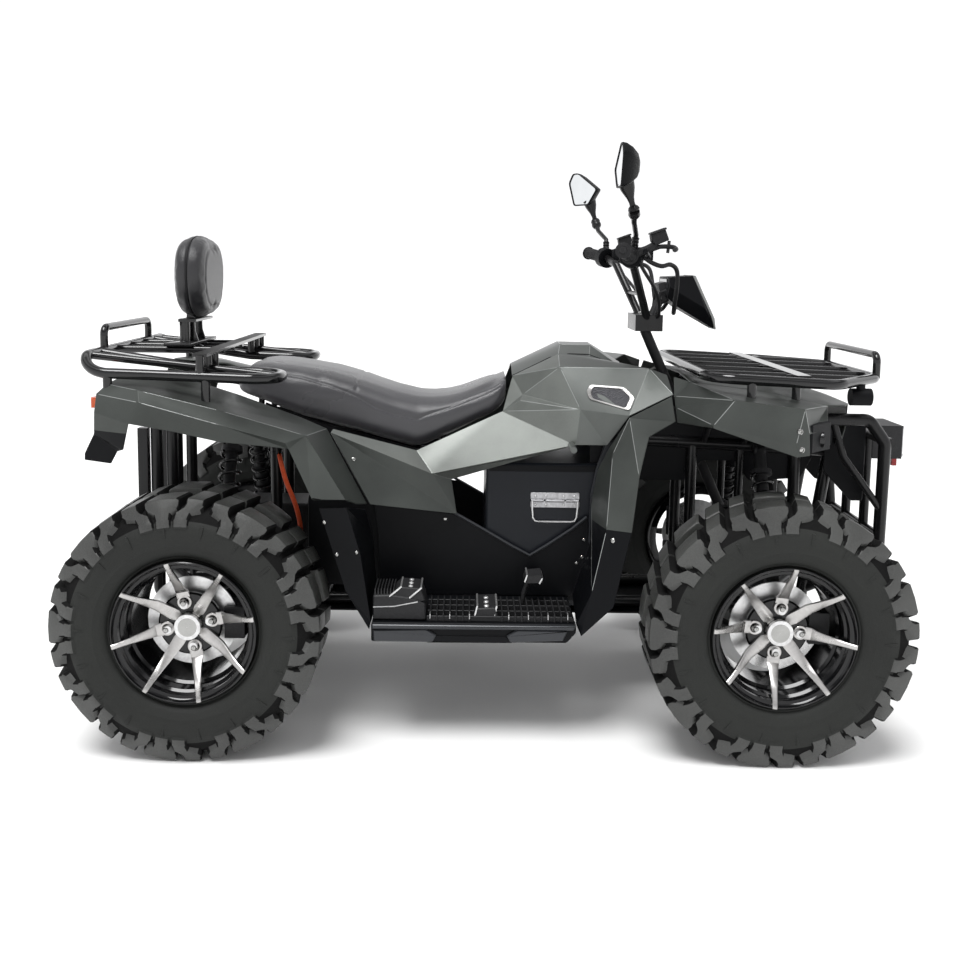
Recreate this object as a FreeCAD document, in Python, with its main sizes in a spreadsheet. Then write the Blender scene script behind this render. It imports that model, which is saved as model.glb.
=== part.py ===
import FreeCAD
import Part
import math
import os

# Full-size electric quad bike. X points forward, Y to the rider's left, Z up, in millimetres.
# Everything is drawn from the rear axle's centre, on the ground, and moved at the end
# so that the origin is the middle of the footprint.

SIZES = (
    # Layout
    ("wheelbase", 1400),
    ("front_track_half", 486),
    ("rear_track_half", 463),
    ("tyre_radius", 317.5),
    ("front_tyre_width", 203),
    ("rear_tyre_width", 254),
    # Wheel
    ("rim_radius", 170),
    ("rim_wall", 5),
    ("rim_inset", 12),
    ("bead_radius", 156),
    ("dish_depth", 71),
    ("spoke_thickness", 12),
    ("spoke_root_width", 33),
    ("spoke_tip_width", 14),
    ("spoke_count", 8),
    ("hub_face_radius", 50),
    ("hub_hole_radius", 31),
    ("hub_gap", 0.3),
    ("hub_length", 62),
    ("hub_barrel_radius", 38),
    ("cap_length", 28),
    ("disc_radius", 108),
    ("disc_thickness", 5),
    ("disc_inset", 38),
    ("spindle_radius", 16),
    ("spindle_length", 50),
    ("caliper_length", 48),
    ("caliper_height", 76),
    ("caliper_reach", 19),
    ("caliper_wall", 15),
    ("nut_circle_radius", 55),
    ("nut_radius", 9),
    ("nut_length", 16),
    ("running_gap", 5),
    ("lug_groups", 9),
    ("front_rim_turn", 84),
    ("rear_rim_turn", 102),
    # Steering
    ("kingpin_half", 378),
    ("kingpin_radius", 9),
    ("knuckle_arm_length", 100),
    ("knuckle_thickness", 30),
    ("knuckle_width", 44),
    ("pin_gap", 0.4),
    ("eye_wall", 9),
    ("column_tilt", 24.6),
    ("column_radius", 14),
    ("clamp_x", 1140),
    ("clamp_z", 1001),
    ("link_pin_radius", 5),
    ("link_boss_radius", 13),
    ("link_plate", 10),
    # Suspension
    ("arm_radius", 12),
    ("arm_spread", 140),
    ("lower_ball_drop", 78),
    ("upper_ball_rise", 42),
    ("shock_radius", 30),
    ("shock_rod_radius", 11),
    ("shock_eye_radius", 15),
    ("shaft_radius", 14),
    ("boot_radius", 38),
    # Frame
    ("rail_radius", 16),
    ("rail_half", 105),
    ("rail_height", 262),
    ("upper_rail_half", 105),
    ("bend_radius", 60),
    ("skid_thickness", 5),
    ("skid_length", 1060),
    ("skid_width", 300),
    ("skid_start", 210),
    # Blocks
    ("battery_start", 705),
    ("battery_length", 305),
    ("battery_height", 384),
    ("battery_half", 214),
    ("motor_length", 250),
    ("motor_width", 210),
    ("motor_height", 270),
    ("motor_start", -30),
    ("diff_length", 170),
    ("diff_width", 150),
    ("diff_height", 150),
    # Panels
    ("panel_wall", 4),
    ("panel_gap", 0.3),
    ("fender_half", 490),
    ("deck_height", 800),
    ("front_fender_length", 300),
    ("front_fender_height", 250),
    ("front_fender_start", 1170),
    ("front_fender_base", 650),
    ("rear_fender_length", 640),
    ("rear_fender_height", 320),
    ("rear_fender_start", -240),
    ("rear_fender_base", 560),
    ("nose_start", 1200),
    ("nose_length", 460),
    ("nose_height", 235),
    ("nose_base", 690),
    ("nose_half", 250),
    ("side_start", 304),
    ("side_length", 874),
    ("side_base", 530),
    ("side_height", 420),
    ("side_half", 300),
    ("apron_half", 460),
    ("front_apron_length", 255),
    ("front_apron_base", 262),
    ("front_apron_height", 600),
    ("rear_apron_length", 135),
    ("rear_apron_base", 290),
    ("rear_apron_height", 300),
    ("cowl_half", 228),
    ("cowl_start", 430),
    ("cowl_length", 546),
    ("cowl_height", 246),
    ("footboard_start", 425),
    ("footboard_length", 500),
    ("footboard_base", 259),
    ("footboard_thickness", 52),
    ("footboard_inner_half", 218),
    ("footboard_outer_half", 470),
    ("step_start", 429),
    ("step_length", 130),
    ("step_height", 81),
    ("step_width", 130),
    # Seat
    ("seat_start", 40),
    ("seat_length", 730),
    ("seat_base", 680),
    ("seat_height", 240),
    ("seat_half", 190),
    ("tank_front", 1068.3),
    ("tank_base", 740),
    ("tank_height", 226),
    ("tank_half", 122),
    ("pad_bottom", 1020),
    ("pad_height", 222),
    ("pad_depth", 72),
    ("pad_width", 300),
    ("pad_centre_x", -96),
    ("post_half", 67),
    ("post_radius", 14),
    # Racks
    ("rack_tube_radius", 13),
    ("rack_bar_radius", 10),
    ("rack_bend_radius", 70),
    ("rear_rack_rear", -285),
    ("rear_rack_front", 190),
    ("rear_rack_half", 400),
    ("rear_rack_inner_half", 240),
    ("rear_cross_x", 8),
    ("rear_rack_height", 940),
    ("rear_rack_drop", 12),
    ("rear_rack_step", 36),
    ("rack_leg_length", 110),
    ("rear_hoop_half", 200),
    ("hoop_rise", 60),
    ("front_rack_rear", 1243),
    ("front_rack_front", 1714),
    ("front_rack_half", 380),
    ("front_rack_height", 894),
    ("front_rack_bend", 1556),
    ("front_rack_tip_half", 200),
    ("front_rack_rise", 14),
    ("cross_bar_width", 34),
    ("cross_bar_thickness", 8),
    ("rack_leg_radius", 11),
    # Bumper and winch
    ("bumper_radius", 16),
    ("bumper_x", 1748),
    ("bumper_half", 240),
    ("bumper_top", 790),
    ("bumper_bottom", 412),
    ("bumper_rear", 1555),
    ("brace_top_x", 1594),
    ("brace_knee_x", 1626),
    ("brace_knee_z", 693),
    ("brace_foot_z", 548),
    ("fairlead_base", 661),
    ("fairlead_x", 1822),
    ("fairlead_height", 91),
    ("fairlead_width", 150),
    ("fairlead_depth", 40),
    ("winch_radius", 42),
    ("winch_length", 190),
    ("hook_thickness", 14),
    ("hook_width", 42),
    ("hook_height", 63),
    # Lamps
    ("lamp_start", 1446),
    ("lamp_length", 94),
    ("lamp_inner_half", 330),
    ("lamp_outer_half", 455),
    ("lamp_base", 738),
    ("lamp_height", 66),
    ("lens_radius", 22),
    ("lens_depth", 8),
    ("marker_x", 1650),
    ("marker_z", 853),
    ("marker_radius", 22),
    ("marker_depth", 52),
    ("tail_lamp_width", 90),
    ("tail_lamp_height", 26),
    ("tail_lamp_depth", 22),
    # Handlebar
    ("bar_radius", 11),
    ("riser_radius", 16),
    ("riser_foot_half", 55),
    ("riser_top_half", 170),
    ("bar_x", 1062),
    ("bar_z", 1197),
    ("bar_inner_half", 262),
    ("bar_end_half", 380),
    ("bar_end_x", 1024),
    ("bar_end_z", 1211),
    ("grip_radius", 17),
    ("clamp_length", 74),
    ("clamp_width", 150),
    ("clamp_height", 44),
    ("mirror_half", 420),
    ("mirror_x", 1000),
    ("mirror_z", 1408),
    ("mirror_width", 150),
    ("mirror_height", 101),
    ("mirror_depth", 40),
    ("mirror_stem_radius", 6),
    ("pod_width", 180),
    ("pod_start", 1188),
    ("pod_length", 140),
    ("pod_base", 1007),
    ("pod_height", 144),
    # Hitch
    ("hitch_post_half", 110),
    ("hitch_post_x", -215),
    ("hitch_post_width", 27),
    ("hitch_height", 330),
    ("hitch_tongue_length", 90),
    ("hitch_tongue_width", 60),
    ("hitch_plate", 10),
    ("hitch_hole_radius", 8.5),
)

document = FreeCAD.newDocument("quad_bike")
sheet = document.addObject("Spreadsheet::Sheet", "sizes")
for row, (alias, number) in enumerate(SIZES, 1):
    sheet.set("A%d" % row, alias)
    sheet.set("B%d" % row, str(number))
    sheet.setAlias("B%d" % row, alias)
document.recompute()

Vector = FreeCAD.Vector
UP = Vector(0, 0, 1)
LEFT = Vector(0, 1, 0)
FORWARD = Vector(1, 0, 0)
SIDES = (("left", 1), ("right", -1))
subparts = []


def size(alias):
    return float(sheet.get(alias))


def keep(item):
    item.Label = item.Name
    subparts.append(item)
    return item


def solid_feature(node, shape):
    item = document.addObject("Part::Feature", node)
    item.Shape = shape
    item.Placement = FreeCAD.Placement()
    return keep(item)


def mirrored(shape):
    return shape.mirror(Vector(), LEFT)


def both(shape):
    return [shape, mirrored(shape)]


def joined(shapes):
    whole = shapes[0].multiFuse(shapes[1:]) if len(shapes) > 1 else shapes[0]
    return whole.removeSplitter()


def cylinder(start, end, radius):
    run = end - start
    return Part.makeCylinder(radius, run.Length, start, run)


def tube(points, radius, bend):
    """A round bar along straight runs that tangent arcs join."""
    edges = []
    last = points[0]
    for before, corner, after in zip(points, points[1:], points[2:]):
        back = (before - corner).normalize()
        ahead = (after - corner).normalize()
        turn = math.pi - back.getAngle(ahead)
        trim = bend * math.tan(turn / 2)
        start = corner + back * trim
        end = corner + ahead * trim
        middle = (back + ahead).normalize()
        reach = bend / math.cos(turn / 2) - bend
        edges.append(Part.makeLine(last, start))
        edges.append(Part.Arc(start, corner + middle * reach, end).toShape())
        last = end
    edges.append(Part.makeLine(last, points[-1]))
    path = Part.Wire(edges)
    ring = Part.Wire(Part.makeCircle(radius, points[0], points[1] - points[0]))
    return path.makePipeShell([ring], True, False)


def prism(points, run):
    return Part.Face(Part.makePolygon(points + points[:1])).extrude(run)


def box(low, high):
    span = high - low
    return Part.makeBox(span.x, span.y, span.z, low)


def faceted_solid(faces):
    solid = Part.Solid(Part.Shell([Part.Face(Part.makePolygon(face + face[:1])) for face in faces]))
    if solid.Volume < 0:
        solid.reverse()
    return solid


def moulding(corners, faces, start, length, half, base, height):
    """A moulded panel: named corners in shares of its own box, thickened away from its outer faces."""
    outer = {
        name: Vector(start + length * u, half * w, base + height * v) for name, (u, w, v) in corners.items()}
    triangles = []
    for face in faces:
        names = face.split()
        triangles += [(names[0], before, after) for before, after in zip(names[1:], names[2:])]
    lean = {name: Vector() for name in outer}
    edges = set()
    for names in triangles:
        a, b, c = [outer[name] for name in names]
        flat = (b - a).cross(c - a).normalize()
        for name, before, after in zip(names, (c, a, b), (b, c, a)):
            lean[name] += flat * (before - outer[name]).getAngle(after - outer[name])
        edges.update(zip(names, names[1:] + names[:1]))
    inner = {name: outer[name] - lean[name].normalize() * wall for name in outer}
    skin = [[outer[name] for name in names] for names in triangles]
    skin += [[inner[name] for name in reversed(names)] for names in triangles]
    for a, b in sorted(edges):
        if (b, a) not in edges:
            skin += [[outer[b], outer[a], inner[a]], [outer[b], inner[a], inner[b]]]
    return faceted_solid(skin)


def with_far_half(corners, faces):
    """The same table with its mirror image, joined along the middle."""
    other = {name: name + "_far" if w else name for name, (u, w, v) in corners.items()}
    whole = dict(corners)
    whole.update({other[name]: (u, -w, v) for name, (u, w, v) in corners.items()})
    return whole, faces + tuple(" ".join(other[name] for name in reversed(face.split())) for face in faces)


def lofted(sections):
    return Part.makeLoft([Part.makePolygon(s + s[:1]) for s in sections], True, True)


def trimmed(shape, skin, start):
    """The stretch of a stay between its root and the skin that it holds."""
    pieces = shape.cut(skin).Solids
    return min(pieces, key=lambda piece: piece.distToShape(Part.Vertex(start))[0])


def origin_plane(body, role):
    return next(plane for plane in body.Origin.OriginFeatures if plane.Role == role)


def outline(body, role, points, name):
    """A closed outline on one of the body's own planes."""
    sketch = body.newObject("Sketcher::SketchObject", name)
    sketch.AttachmentSupport = [(origin_plane(body, role), "")]
    sketch.MapMode = "FlatFace"
    corners = [Vector(across, up, 0) for across, up in points]
    for start, end in zip(corners, corners[1:] + corners[:1]):
        sketch.addGeometry(Part.LineSegment(start, end), False)
    return sketch


def padded(node, role, points, alias, midplane=True):
    body = document.addObject("PartDesign::Body", node)
    sketch = outline(body, role, points, node + "_outline")
    pad = body.newObject("PartDesign::Pad", node + "_pad")
    pad.Profile = sketch
    pad.Midplane = midplane
    pad.setExpression("Length", "sizes." + alias)
    sketch.Visibility = False
    document.recompute()
    return body


# Derived places
wall = size("panel_wall")
front_x = size("wheelbase")
axle_z = size("tyre_radius")
rear_axle = Vector(0, 0, axle_z)
tilt = math.radians(size("column_tilt"))
arm = size("knuckle_arm_length")
column_foot_x = front_x - arm + arm * math.cos(tilt)
column_foot_z = size("clamp_z") - (column_foot_x - size("clamp_x")) / math.tan(tilt)
column_foot = Vector(column_foot_x, 0, column_foot_z)
column_head = Vector(size("clamp_x"), 0, size("clamp_z"))
column_axis = (column_head - column_foot).normalize()
link_z = column_foot_z - arm * math.sin(tilt)
link_x = front_x - arm


def wheel_places():
    for side, sign in SIDES:
        yield "front_" + side, sign, front_x, size("front_track_half"), size("front_tyre_width"), "front"
        yield "rear_" + side, sign, 0, size("rear_track_half"), size("rear_tyre_width"), "rear"


BEAD_SEAT_SHARE = 0.36
SIDEWALL_SHARES = ((0.33, 0.00), (0.34, 0.11), (0.45, 0.19), (0.495, 0.45))
FOOT_SHARES, FOOT_GROOVE_SHARES = (0.50, 0.63), (0.487, 0.60)
CROWN_SHARES, CROWN_GROOVE_SHARES = (0.40, 1.00), (0.385, 0.875)
LUG_CROWN_SHARES = ((-0.455, -0.265), (-0.181, 0.181), (0.265, 0.455))
LUG_FOOT_SHARES = ((-0.30, -0.1375), (-0.08, 0.08), (0.1375, 0.30))
LUG_WALL_SHARE = 0.02
LUG_SLANT_SHARE = 1 / 6
SIDEWALL_TURN_SHARE = -0.38


def tyre(name, sign, x, track, width):
    """Carcass with slanting shoulder lugs, open at the beads, as one faceted ring."""
    seat = size("bead_radius") + size("panel_gap")
    depth = size("tyre_radius") - seat
    groups = int(size("lug_groups"))
    lugs = groups * len(LUG_CROWN_SHARES)
    group_turn = 2 * math.pi / groups
    down = -math.pi / 2 - LUG_CROWN_SHARES[-1][-1] * group_turn

    def corner(shares, side, turn):
        radius = seat + depth * shares[1]
        angle = down + turn * group_turn
        return Vector(
            x + radius * math.cos(angle), sign * track + side * width * shares[0],
            axle_z + radius * math.sin(angle))

    def plain_ring(shares, side):
        swell = 1 / math.cos(math.pi / lugs) if not shares[1] else 1
        ring = []
        for lug in range(lugs):
            place = corner(shares, side, SIDEWALL_TURN_SHARE + lug / len(LUG_CROWN_SHARES))
            hub = Vector(x, place.y, axle_z)
            ring.append(hub + (place - hub) * swell)
        return ring

    def lug_ring(raised, sunk, spans, side):
        shift = LUG_SLANT_SHARE if side < 0 else 0
        ring = []
        for lug in range(lugs):
            low, high = [lug // len(spans) + shift + share for share in spans[lug % len(spans)]]
            ring += [
                corner(sunk, side, low - LUG_WALL_SHARE), corner(raised, side, low),
                corner(raised, side, high),
                corner(sunk, side, high + LUG_WALL_SHARE)]
        return ring

    plain = [[plain_ring(shares, side) for shares in SIDEWALL_SHARES] for side in (1, -1)]
    feet = [lug_ring(FOOT_SHARES, FOOT_GROOVE_SHARES, LUG_FOOT_SHARES, side) for side in (1, -1)]
    crowns = [lug_ring(CROWN_SHARES, CROWN_GROOVE_SHARES, LUG_CROWN_SHARES, side) for side in (1, -1)]
    faces = []

    def band(low, high):
        for i in range(len(low)):
            j = (i + 1) % len(low)
            faces.extend([[low[i], low[j], high[j]], [low[i], high[j], high[i]]])

    def fan(low, high, turned):
        for i in range(lugs):
            c, d = low[i], low[(i + 1) % lugs]
            f = [high[(4 * i + step) % len(high)] for step in range(5)]
            for face in ([c, f[1], f[0]], [c, f[2], f[1]], [c, d, f[2]], [d, f[3], f[2]], [d, f[4], f[3]]):
                faces.append(face[::-1] if turned else face)

    near, far = plain
    for low, high in zip(near, near[1:]):
        band(low, high)
    fan(near[-1], feet[0], False)
    for low, high in ((feet[0], crowns[0]), (crowns[0], crowns[1]), (crowns[1], feet[1])):
        band(low, high)
    fan(far[-1], feet[1], True)
    for low, high in zip(far[::-1], far[-2::-1]):
        band(low, high)
    band(far[0], near[0])
    return solid_feature("tyre_" + name, faceted_solid(faces))


def rim_turn(name):
    """How far a wheel's first eyed spoke is turned up from straight ahead."""
    return size("front_rim_turn" if name.startswith("front") else "rear_rim_turn")


def origin_axis(body, role):
    return next(axis for axis in body.Origin.OriginFeatures if axis.Role == role)


def rim(name, sign, x, track, width):
    """Barrel with a lip, a dished centre and windows between its spokes. Its face looks along -Y."""
    radius, wall, bead = size("rim_radius"), size("rim_wall"), size("bead_radius")
    half = width / 2 - size("rim_inset")
    face = -half + size("dish_depth")
    thick = size("spoke_thickness")
    seat_half = width * BEAD_SEAT_SHARE
    inside = bead - wall
    section = [
        (-half, radius), (-half, radius - wall), (-seat_half + wall, inside), (half - wall, inside),
        (half, radius - wall), (half, radius), (seat_half, radius - wall), (seat_half, bead),
        (-seat_half, bead), (-seat_half, radius - wall),
    ]
    body = document.addObject("PartDesign::Body", "rim_" + name)
    sketch = outline(body, "YZ_Plane", section, "rim_outline_" + name)
    barrel = body.newObject("PartDesign::Revolution", "rim_barrel_" + name)
    barrel.Profile = sketch
    barrel.ReferenceAxis = (sketch, ["H_Axis"])
    sketch.Visibility = False
    lip = -half + wall * 2
    hole = size("hub_hole_radius")
    shoulder = size("hub_face_radius") + size("nut_circle_radius") / 4
    dish = [
        (face, hole), (face, shoulder), (lip, inside + wall / 2), (lip + thick, inside + wall / 2),
        (face + thick, shoulder + thick / 2), (face + thick, hole),
    ]
    disc_sketch = outline(body, "YZ_Plane", dish, "rim_dish_" + name)
    disc = body.newObject("PartDesign::Revolution", "rim_disc_" + name)
    disc.Profile = disc_sketch
    disc.ReferenceAxis = (disc_sketch, ["H_Axis"])
    disc_sketch.Visibility = False
    document.recompute()
    solid_before = disc.Shape.Volume
    step = math.pi / size("spoke_count")
    root = size("spoke_root_width") / 2
    tip = size("spoke_tip_width") / 2
    near, far = size("hub_face_radius") + size("nut_radius"), inside - wall
    window = []
    for reach, spare, share in ((near, root, -1), (far, tip, -1), (far, 0, 0), (far, tip, 1),
            (near, root, 1)):
        angle = step - math.asin(min(spare / reach, 1)) if share else 0
        window.append((reach * math.sin(angle * share), reach * math.cos(angle)))
    cut_sketch = outline(body, "XZ_Plane", window, "rim_window_" + name)
    pocket = body.newObject("PartDesign::Pocket", "rim_pocket_" + name)
    pocket.Profile = cut_sketch
    pocket.Type = "ThroughAll"
    pocket.Midplane = True
    cut_sketch.Visibility = False
    document.recompute()
    pattern = body.newObject("PartDesign::PolarPattern", "rim_windows_" + name)
    pattern.Originals = [pocket]
    pattern.Axis = (origin_axis(body, "Y_Axis"), [""])
    pattern.Angle = 360
    pattern.Occurrences = int(size("spoke_count"))
    body.Tip = pattern
    document.recompute()
    if not pattern.Shape.Volume < solid_before:
        raise ValueError("the windows of the rim cut nothing")
    spoke_turn = 90 - 180 / size("spoke_count") - rim_turn(name)
    facing = FreeCAD.Rotation(UP, 180 if sign > 0 else 0).multiply(FreeCAD.Rotation(LEFT, spoke_turn))
    body.Placement = FreeCAD.Placement(Vector(x, sign * track, axle_z), facing)
    return keep(body)


def hub_faces(width):
    """Places along the axle, outward from the wheel's mid plane, of the hub's steps."""
    rim_back = width / 2 - size("rim_inset") - size("dish_depth") - size("spoke_thickness")
    return rim_back, rim_back - size("hub_length")


def hub(name, sign, x, track, width):
    """Hub barrel, brake disc, cap through the rim's centre hole and the wheel nuts, in one piece."""
    rim_back, back = hub_faces(width)
    rim_front = rim_back + size("spoke_thickness")
    centre = Vector(x, sign * track, axle_z)

    def along(distance):
        return centre + LEFT * (sign * distance)

    barrel = cylinder(along(back), along(rim_back), size("hub_barrel_radius"))
    flange = cylinder(along(rim_back - size("disc_thickness")), along(rim_back),
        size("hub_face_radius") + size("nut_radius"))
    pilot = cylinder(along(rim_back), along(rim_front + size("cap_length")),
        size("hub_hole_radius") - size("hub_gap"))
    disc = cylinder(along(back + size("disc_inset")), along(back + size("disc_inset")
        + size("disc_thickness")), size("disc_radius"))
    bore = cylinder(along(back), along(back + size("spindle_length")),
        size("spindle_radius") + size("hub_gap"))
    nuts = []
    for step in range(4):
        angle = math.radians(90 * step + rim_turn(name))
        offset = Vector(-sign * math.cos(angle), 0, math.sin(angle)) * (size("nut_circle_radius")
            - size("nut_radius") / 2)
        nuts.append(cylinder(along(rim_front) + offset, along(rim_front + size("nut_length")) + offset,
            size("nut_radius")))
    whole = joined([barrel, flange, pilot, disc]).cut(bore)
    return solid_feature("hub_" + name, Part.makeCompound([whole] + nuts))


def carrier_face(track, width):
    """How far out the carrier's own face stands, clear of the turning hub."""
    return track + hub_faces(width)[1] - size("running_gap")


def caliper(x, track, width):
    """A block rooted level with the carrier that reaches over the brake disc's edge."""
    gap, thin = size("running_gap"), size("caliper_wall")
    root = carrier_face(track, width) - size("knuckle_thickness") / 2
    near = carrier_face(track, width) + size("disc_inset")
    far = near + size("disc_thickness") + gap * 2
    tall = size("caliper_height") / 2
    high = x + size("disc_radius") + size("caliper_reach")
    low = high - size("caliper_length")
    block = box(Vector(low, root, axle_z - tall), Vector(high, far + thin, axle_z + tall))
    slot = box(
        Vector(x, near, axle_z - tall - gap),
        Vector(x + size("disc_radius") + gap, far, axle_z + tall + gap))
    return block.cut(slot)


def upright(sign, x, track, width, king, steered):
    """The carrier's post and pin, its spindle into the hub, its caliper and its steering arm."""
    gap = size("running_gap")
    face = carrier_face(track, width)
    half, thin = size("knuckle_width") / 2, size("knuckle_thickness") / 2
    low, high = axle_z - size("lower_ball_drop"), axle_z + size("upper_ball_rise")
    clear = size("arm_radius") + gap
    spare = size("kingpin_radius") + size("pin_gap") + size("eye_wall")
    whole = [
        box(Vector(x - half, king - thin, low + clear), Vector(x + half, face, high - clear)),
        cylinder(
            Vector(x, face - gap, axle_z), Vector(x, face + size("spindle_length"), axle_z),
            size("spindle_radius")),
        box(Vector(x, face - thin, axle_z - half / 2), Vector(x + size("disc_radius"), face,
            axle_z + half / 2)),
        caliper(x, track, width),
        cylinder(Vector(x, king, low - spare), Vector(x, king, high + spare), size("kingpin_radius"))]
    if steered:
        thick = size("link_plate")
        top = high - clear
        level = link_z + sign * (thick / 2 + size("pin_gap")) - thick / 2 - size("pin_gap")
        whole += [
            box(Vector(link_x, king - thick, top - thick), Vector(x, king + thick, top)),
            cylinder(Vector(link_x, king, top - thick), Vector(link_x, king, level),
                size("link_boss_radius")),
            cylinder(Vector(link_x, king, level), Vector(link_x, king, level + thick * 1.5),
                size("link_pin_radius"))]
    solid = joined(whole)
    return solid if sign > 0 else mirrored(solid)


rear_king = (
    carrier_face(size("rear_track_half"), size("rear_tyre_width"))
    - size("kingpin_radius") - size("pin_gap") - size("eye_wall"))


for name, sign, x, track, width, end in wheel_places():
    tyre(name, sign, x, track, width)
    rim(name, sign, x, track, width)
    hub(name, sign, x, track, width)

for side, sign in SIDES:
    solid_feature("knuckle_" + side, upright(
        sign, front_x, size("front_track_half"), size("front_tyre_width"), size("kingpin_half"), True))

solid_feature("rear_uprights", Part.makeCompound([
    upright(sign, 0, size("rear_track_half"), size("rear_tyre_width"), rear_king, False)
    for _, sign in SIDES]))


# Steering
def eye(centre, bore, wall, height):
    ring = cylinder(centre - UP * (height / 2), centre + UP * (height / 2), bore + wall)
    return ring, cylinder(centre - UP * height, centre + UP * height, bore)


def tie_rod(sign):
    """Rod between the pitman arm's stud and the knuckle arm's stud, with an eye at each end."""
    bore = size("link_pin_radius") + size("pin_gap")
    wall, height = size("eye_wall"), size("link_plate")
    level = link_z + sign * (height / 2 + size("pin_gap"))
    outer = Vector(link_x, size("kingpin_half"), level)
    inner = Vector(link_x, 0, level)
    ring_a, hole_a = eye(outer, bore, wall, height)
    ring_b, hole_b = eye(inner, bore * 2, wall, height)
    rod = cylinder(inner + LEFT * (bore * 2 + wall / 2), outer - LEFT * (bore + wall / 2),
        height / 2 - size("pin_gap"))
    solid = joined([ring_a, ring_b, rod]).cut(hole_a).cut(hole_b)
    return solid if sign > 0 else mirrored(solid)


for side, sign in SIDES:
    solid_feature("tie_rod_" + side, tie_rod(sign))

back_along_arm = Vector(-math.cos(tilt), 0, -math.sin(tilt))
plate = size("link_plate")
arm_start = column_foot + column_axis * plate * 2
arm_end = Vector(link_x, 0, link_z + plate * 2.4)
pitman = prism([
    arm_start + LEFT * plate * 2, arm_start - LEFT * plate * 2,
    arm_end - LEFT * plate + back_along_arm * plate, arm_end + LEFT * plate + back_along_arm * plate],
        column_axis * plate)
stud = cylinder(arm_end + UP * plate / 2, Vector(link_x, 0, link_z - plate * 1.6), size("link_pin_radius"))
clamp = box(
    Vector(size("clamp_x") - size("clamp_length") / 2, -size("clamp_width") / 2, size("clamp_z")),
    Vector(size("clamp_x") + size("clamp_length") / 2, size("clamp_width") / 2,
        size("clamp_z") + size("clamp_height")))
shaft = cylinder(column_foot, column_head, size("column_radius")).cut(clamp)
solid_feature("steering_column", joined([shaft, pitman, stud]))

# Handlebar
bar_inner = Vector(size("bar_x"), size("bar_inner_half"), size("bar_z"))
bar_end = Vector(size("bar_end_x"), size("bar_end_half"), size("bar_end_z"))
bar_knee = Vector(size("bar_x") + size("riser_radius"), size("riser_top_half"),
    size("bar_z") - size("grip_radius"))
bar_foot = Vector(size("clamp_x"), size("riser_foot_half"), size("clamp_z") + size("clamp_height") / 2)
riser = tube([Vector(bar_foot.x, 0, bar_foot.z), bar_foot, bar_knee, bar_inner, bar_end],
    size("bar_radius"), size("grip_radius") * 1.5)
brace_z = (bar_foot.z + bar_knee.z) / 2
brace_share = (brace_z - bar_foot.z) / (bar_knee.z - bar_foot.z)
brace_half = bar_foot.y + (bar_knee.y - bar_foot.y) * brace_share
brace_x = bar_foot.x + (bar_knee.x - bar_foot.x) * brace_share
brace = cylinder(Vector(brace_x, -brace_half, brace_z), Vector(brace_x, brace_half, brace_z),
    size("bar_radius") / 2)
solid_feature("handlebar", joined([clamp, brace] + both(riser)))

grip_axis = (bar_end - bar_inner).normalize()
grip_inner = bar_inner + grip_axis * size("grip_radius") * 2
grip_bore = size("bar_radius") + size("panel_gap")
grip = cylinder(grip_inner, bar_end + grip_axis * size("bar_radius"), size("grip_radius"))
grip = grip.cut(cylinder(bar_inner, bar_end + grip_axis * size("panel_gap"), grip_bore))
solid_feature("grips", Part.makeCompound(both(grip)))

switch_centre = bar_inner + grip_axis * size("grip_radius") / 2
switch_box = cylinder(switch_centre - grip_axis * size("riser_radius"),
    switch_centre + grip_axis * size("riser_radius"), size("grip_radius") * 1.7)
switch_box = switch_box.cut(cylinder(bar_inner - grip_axis * size("pod_width") / 2, bar_end, grip_bore))

lever_root = bar_inner + Vector(size("grip_radius") * 2.6, -size("grip_radius"), 0)
lever_tip = bar_end + Vector(size("grip_radius") * 3.2, -size("grip_radius"), 0)
lever_width = size("bar_radius") * 0.6
lever = cylinder(lever_root, lever_tip, lever_width)
master = box(
    lever_root - Vector(size("grip_radius") * 2, size("grip_radius") * 3, lever_width),
    lever_root + Vector(size("grip_radius") * 0.6, lever_width, size("grip_radius") * 1.5))
master_tool = cylinder(bar_inner - LEFT * size("pod_width") / 2, bar_inner, grip_bore)
controls = joined([lever, master, switch_box]).cut(riser)
solid_feature("hand_controls", Part.makeCompound(both(controls)))


MIRROR_OUTLINE_SHARES = ((0.5, 0.22), (0.36, 0.5), (0.18, 0.5), (-0.5, -0.04), (-0.2, -0.5), (0.3, -0.5))
MIRROR_BACK_SHARE = 0.55
MIRROR_TOE_SHARES = (-0.5, 0.866)


def mirror_body(sign):
    """A six-sided mirror housing, turned toward the rider, on a bent stem that stands on the bar."""
    centre = Vector(size("mirror_x"), size("mirror_half"), size("mirror_z"))
    wide, high, deep = size("mirror_width"), size("mirror_height"), size("mirror_depth")
    along = Vector(MIRROR_TOE_SHARES[0], MIRROR_TOE_SHARES[1], 0)
    ahead = Vector(MIRROR_TOE_SHARES[1], -MIRROR_TOE_SHARES[0], 0)
    front = [centre + along * wide * u + UP * high * v for u, v in MIRROR_OUTLINE_SHARES]
    back = [centre + ahead * deep + (place - centre) * MIRROR_BACK_SHARE for place in front]
    shell = lofted([front, back])
    stem_top = centre + ahead * (deep / 2) - along * (wide / 5) - UP * (high / 3)
    stem_foot = bar_inner + Vector(0, size("grip_radius"), size("bar_radius") / 2)
    stem = tube(
        [stem_foot, Vector(stem_foot.x, stem_foot.y, stem_foot.z + high), stem_top],
        size("mirror_stem_radius"), size("mirror_stem_radius") * 3)
    solid = joined([shell, stem]).cut(riser).cut(controls)
    return solid if sign > 0 else mirrored(solid)


solid_feature("mirrors", Part.makeCompound([mirror_body(sign) for _, sign in SIDES]))

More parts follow.
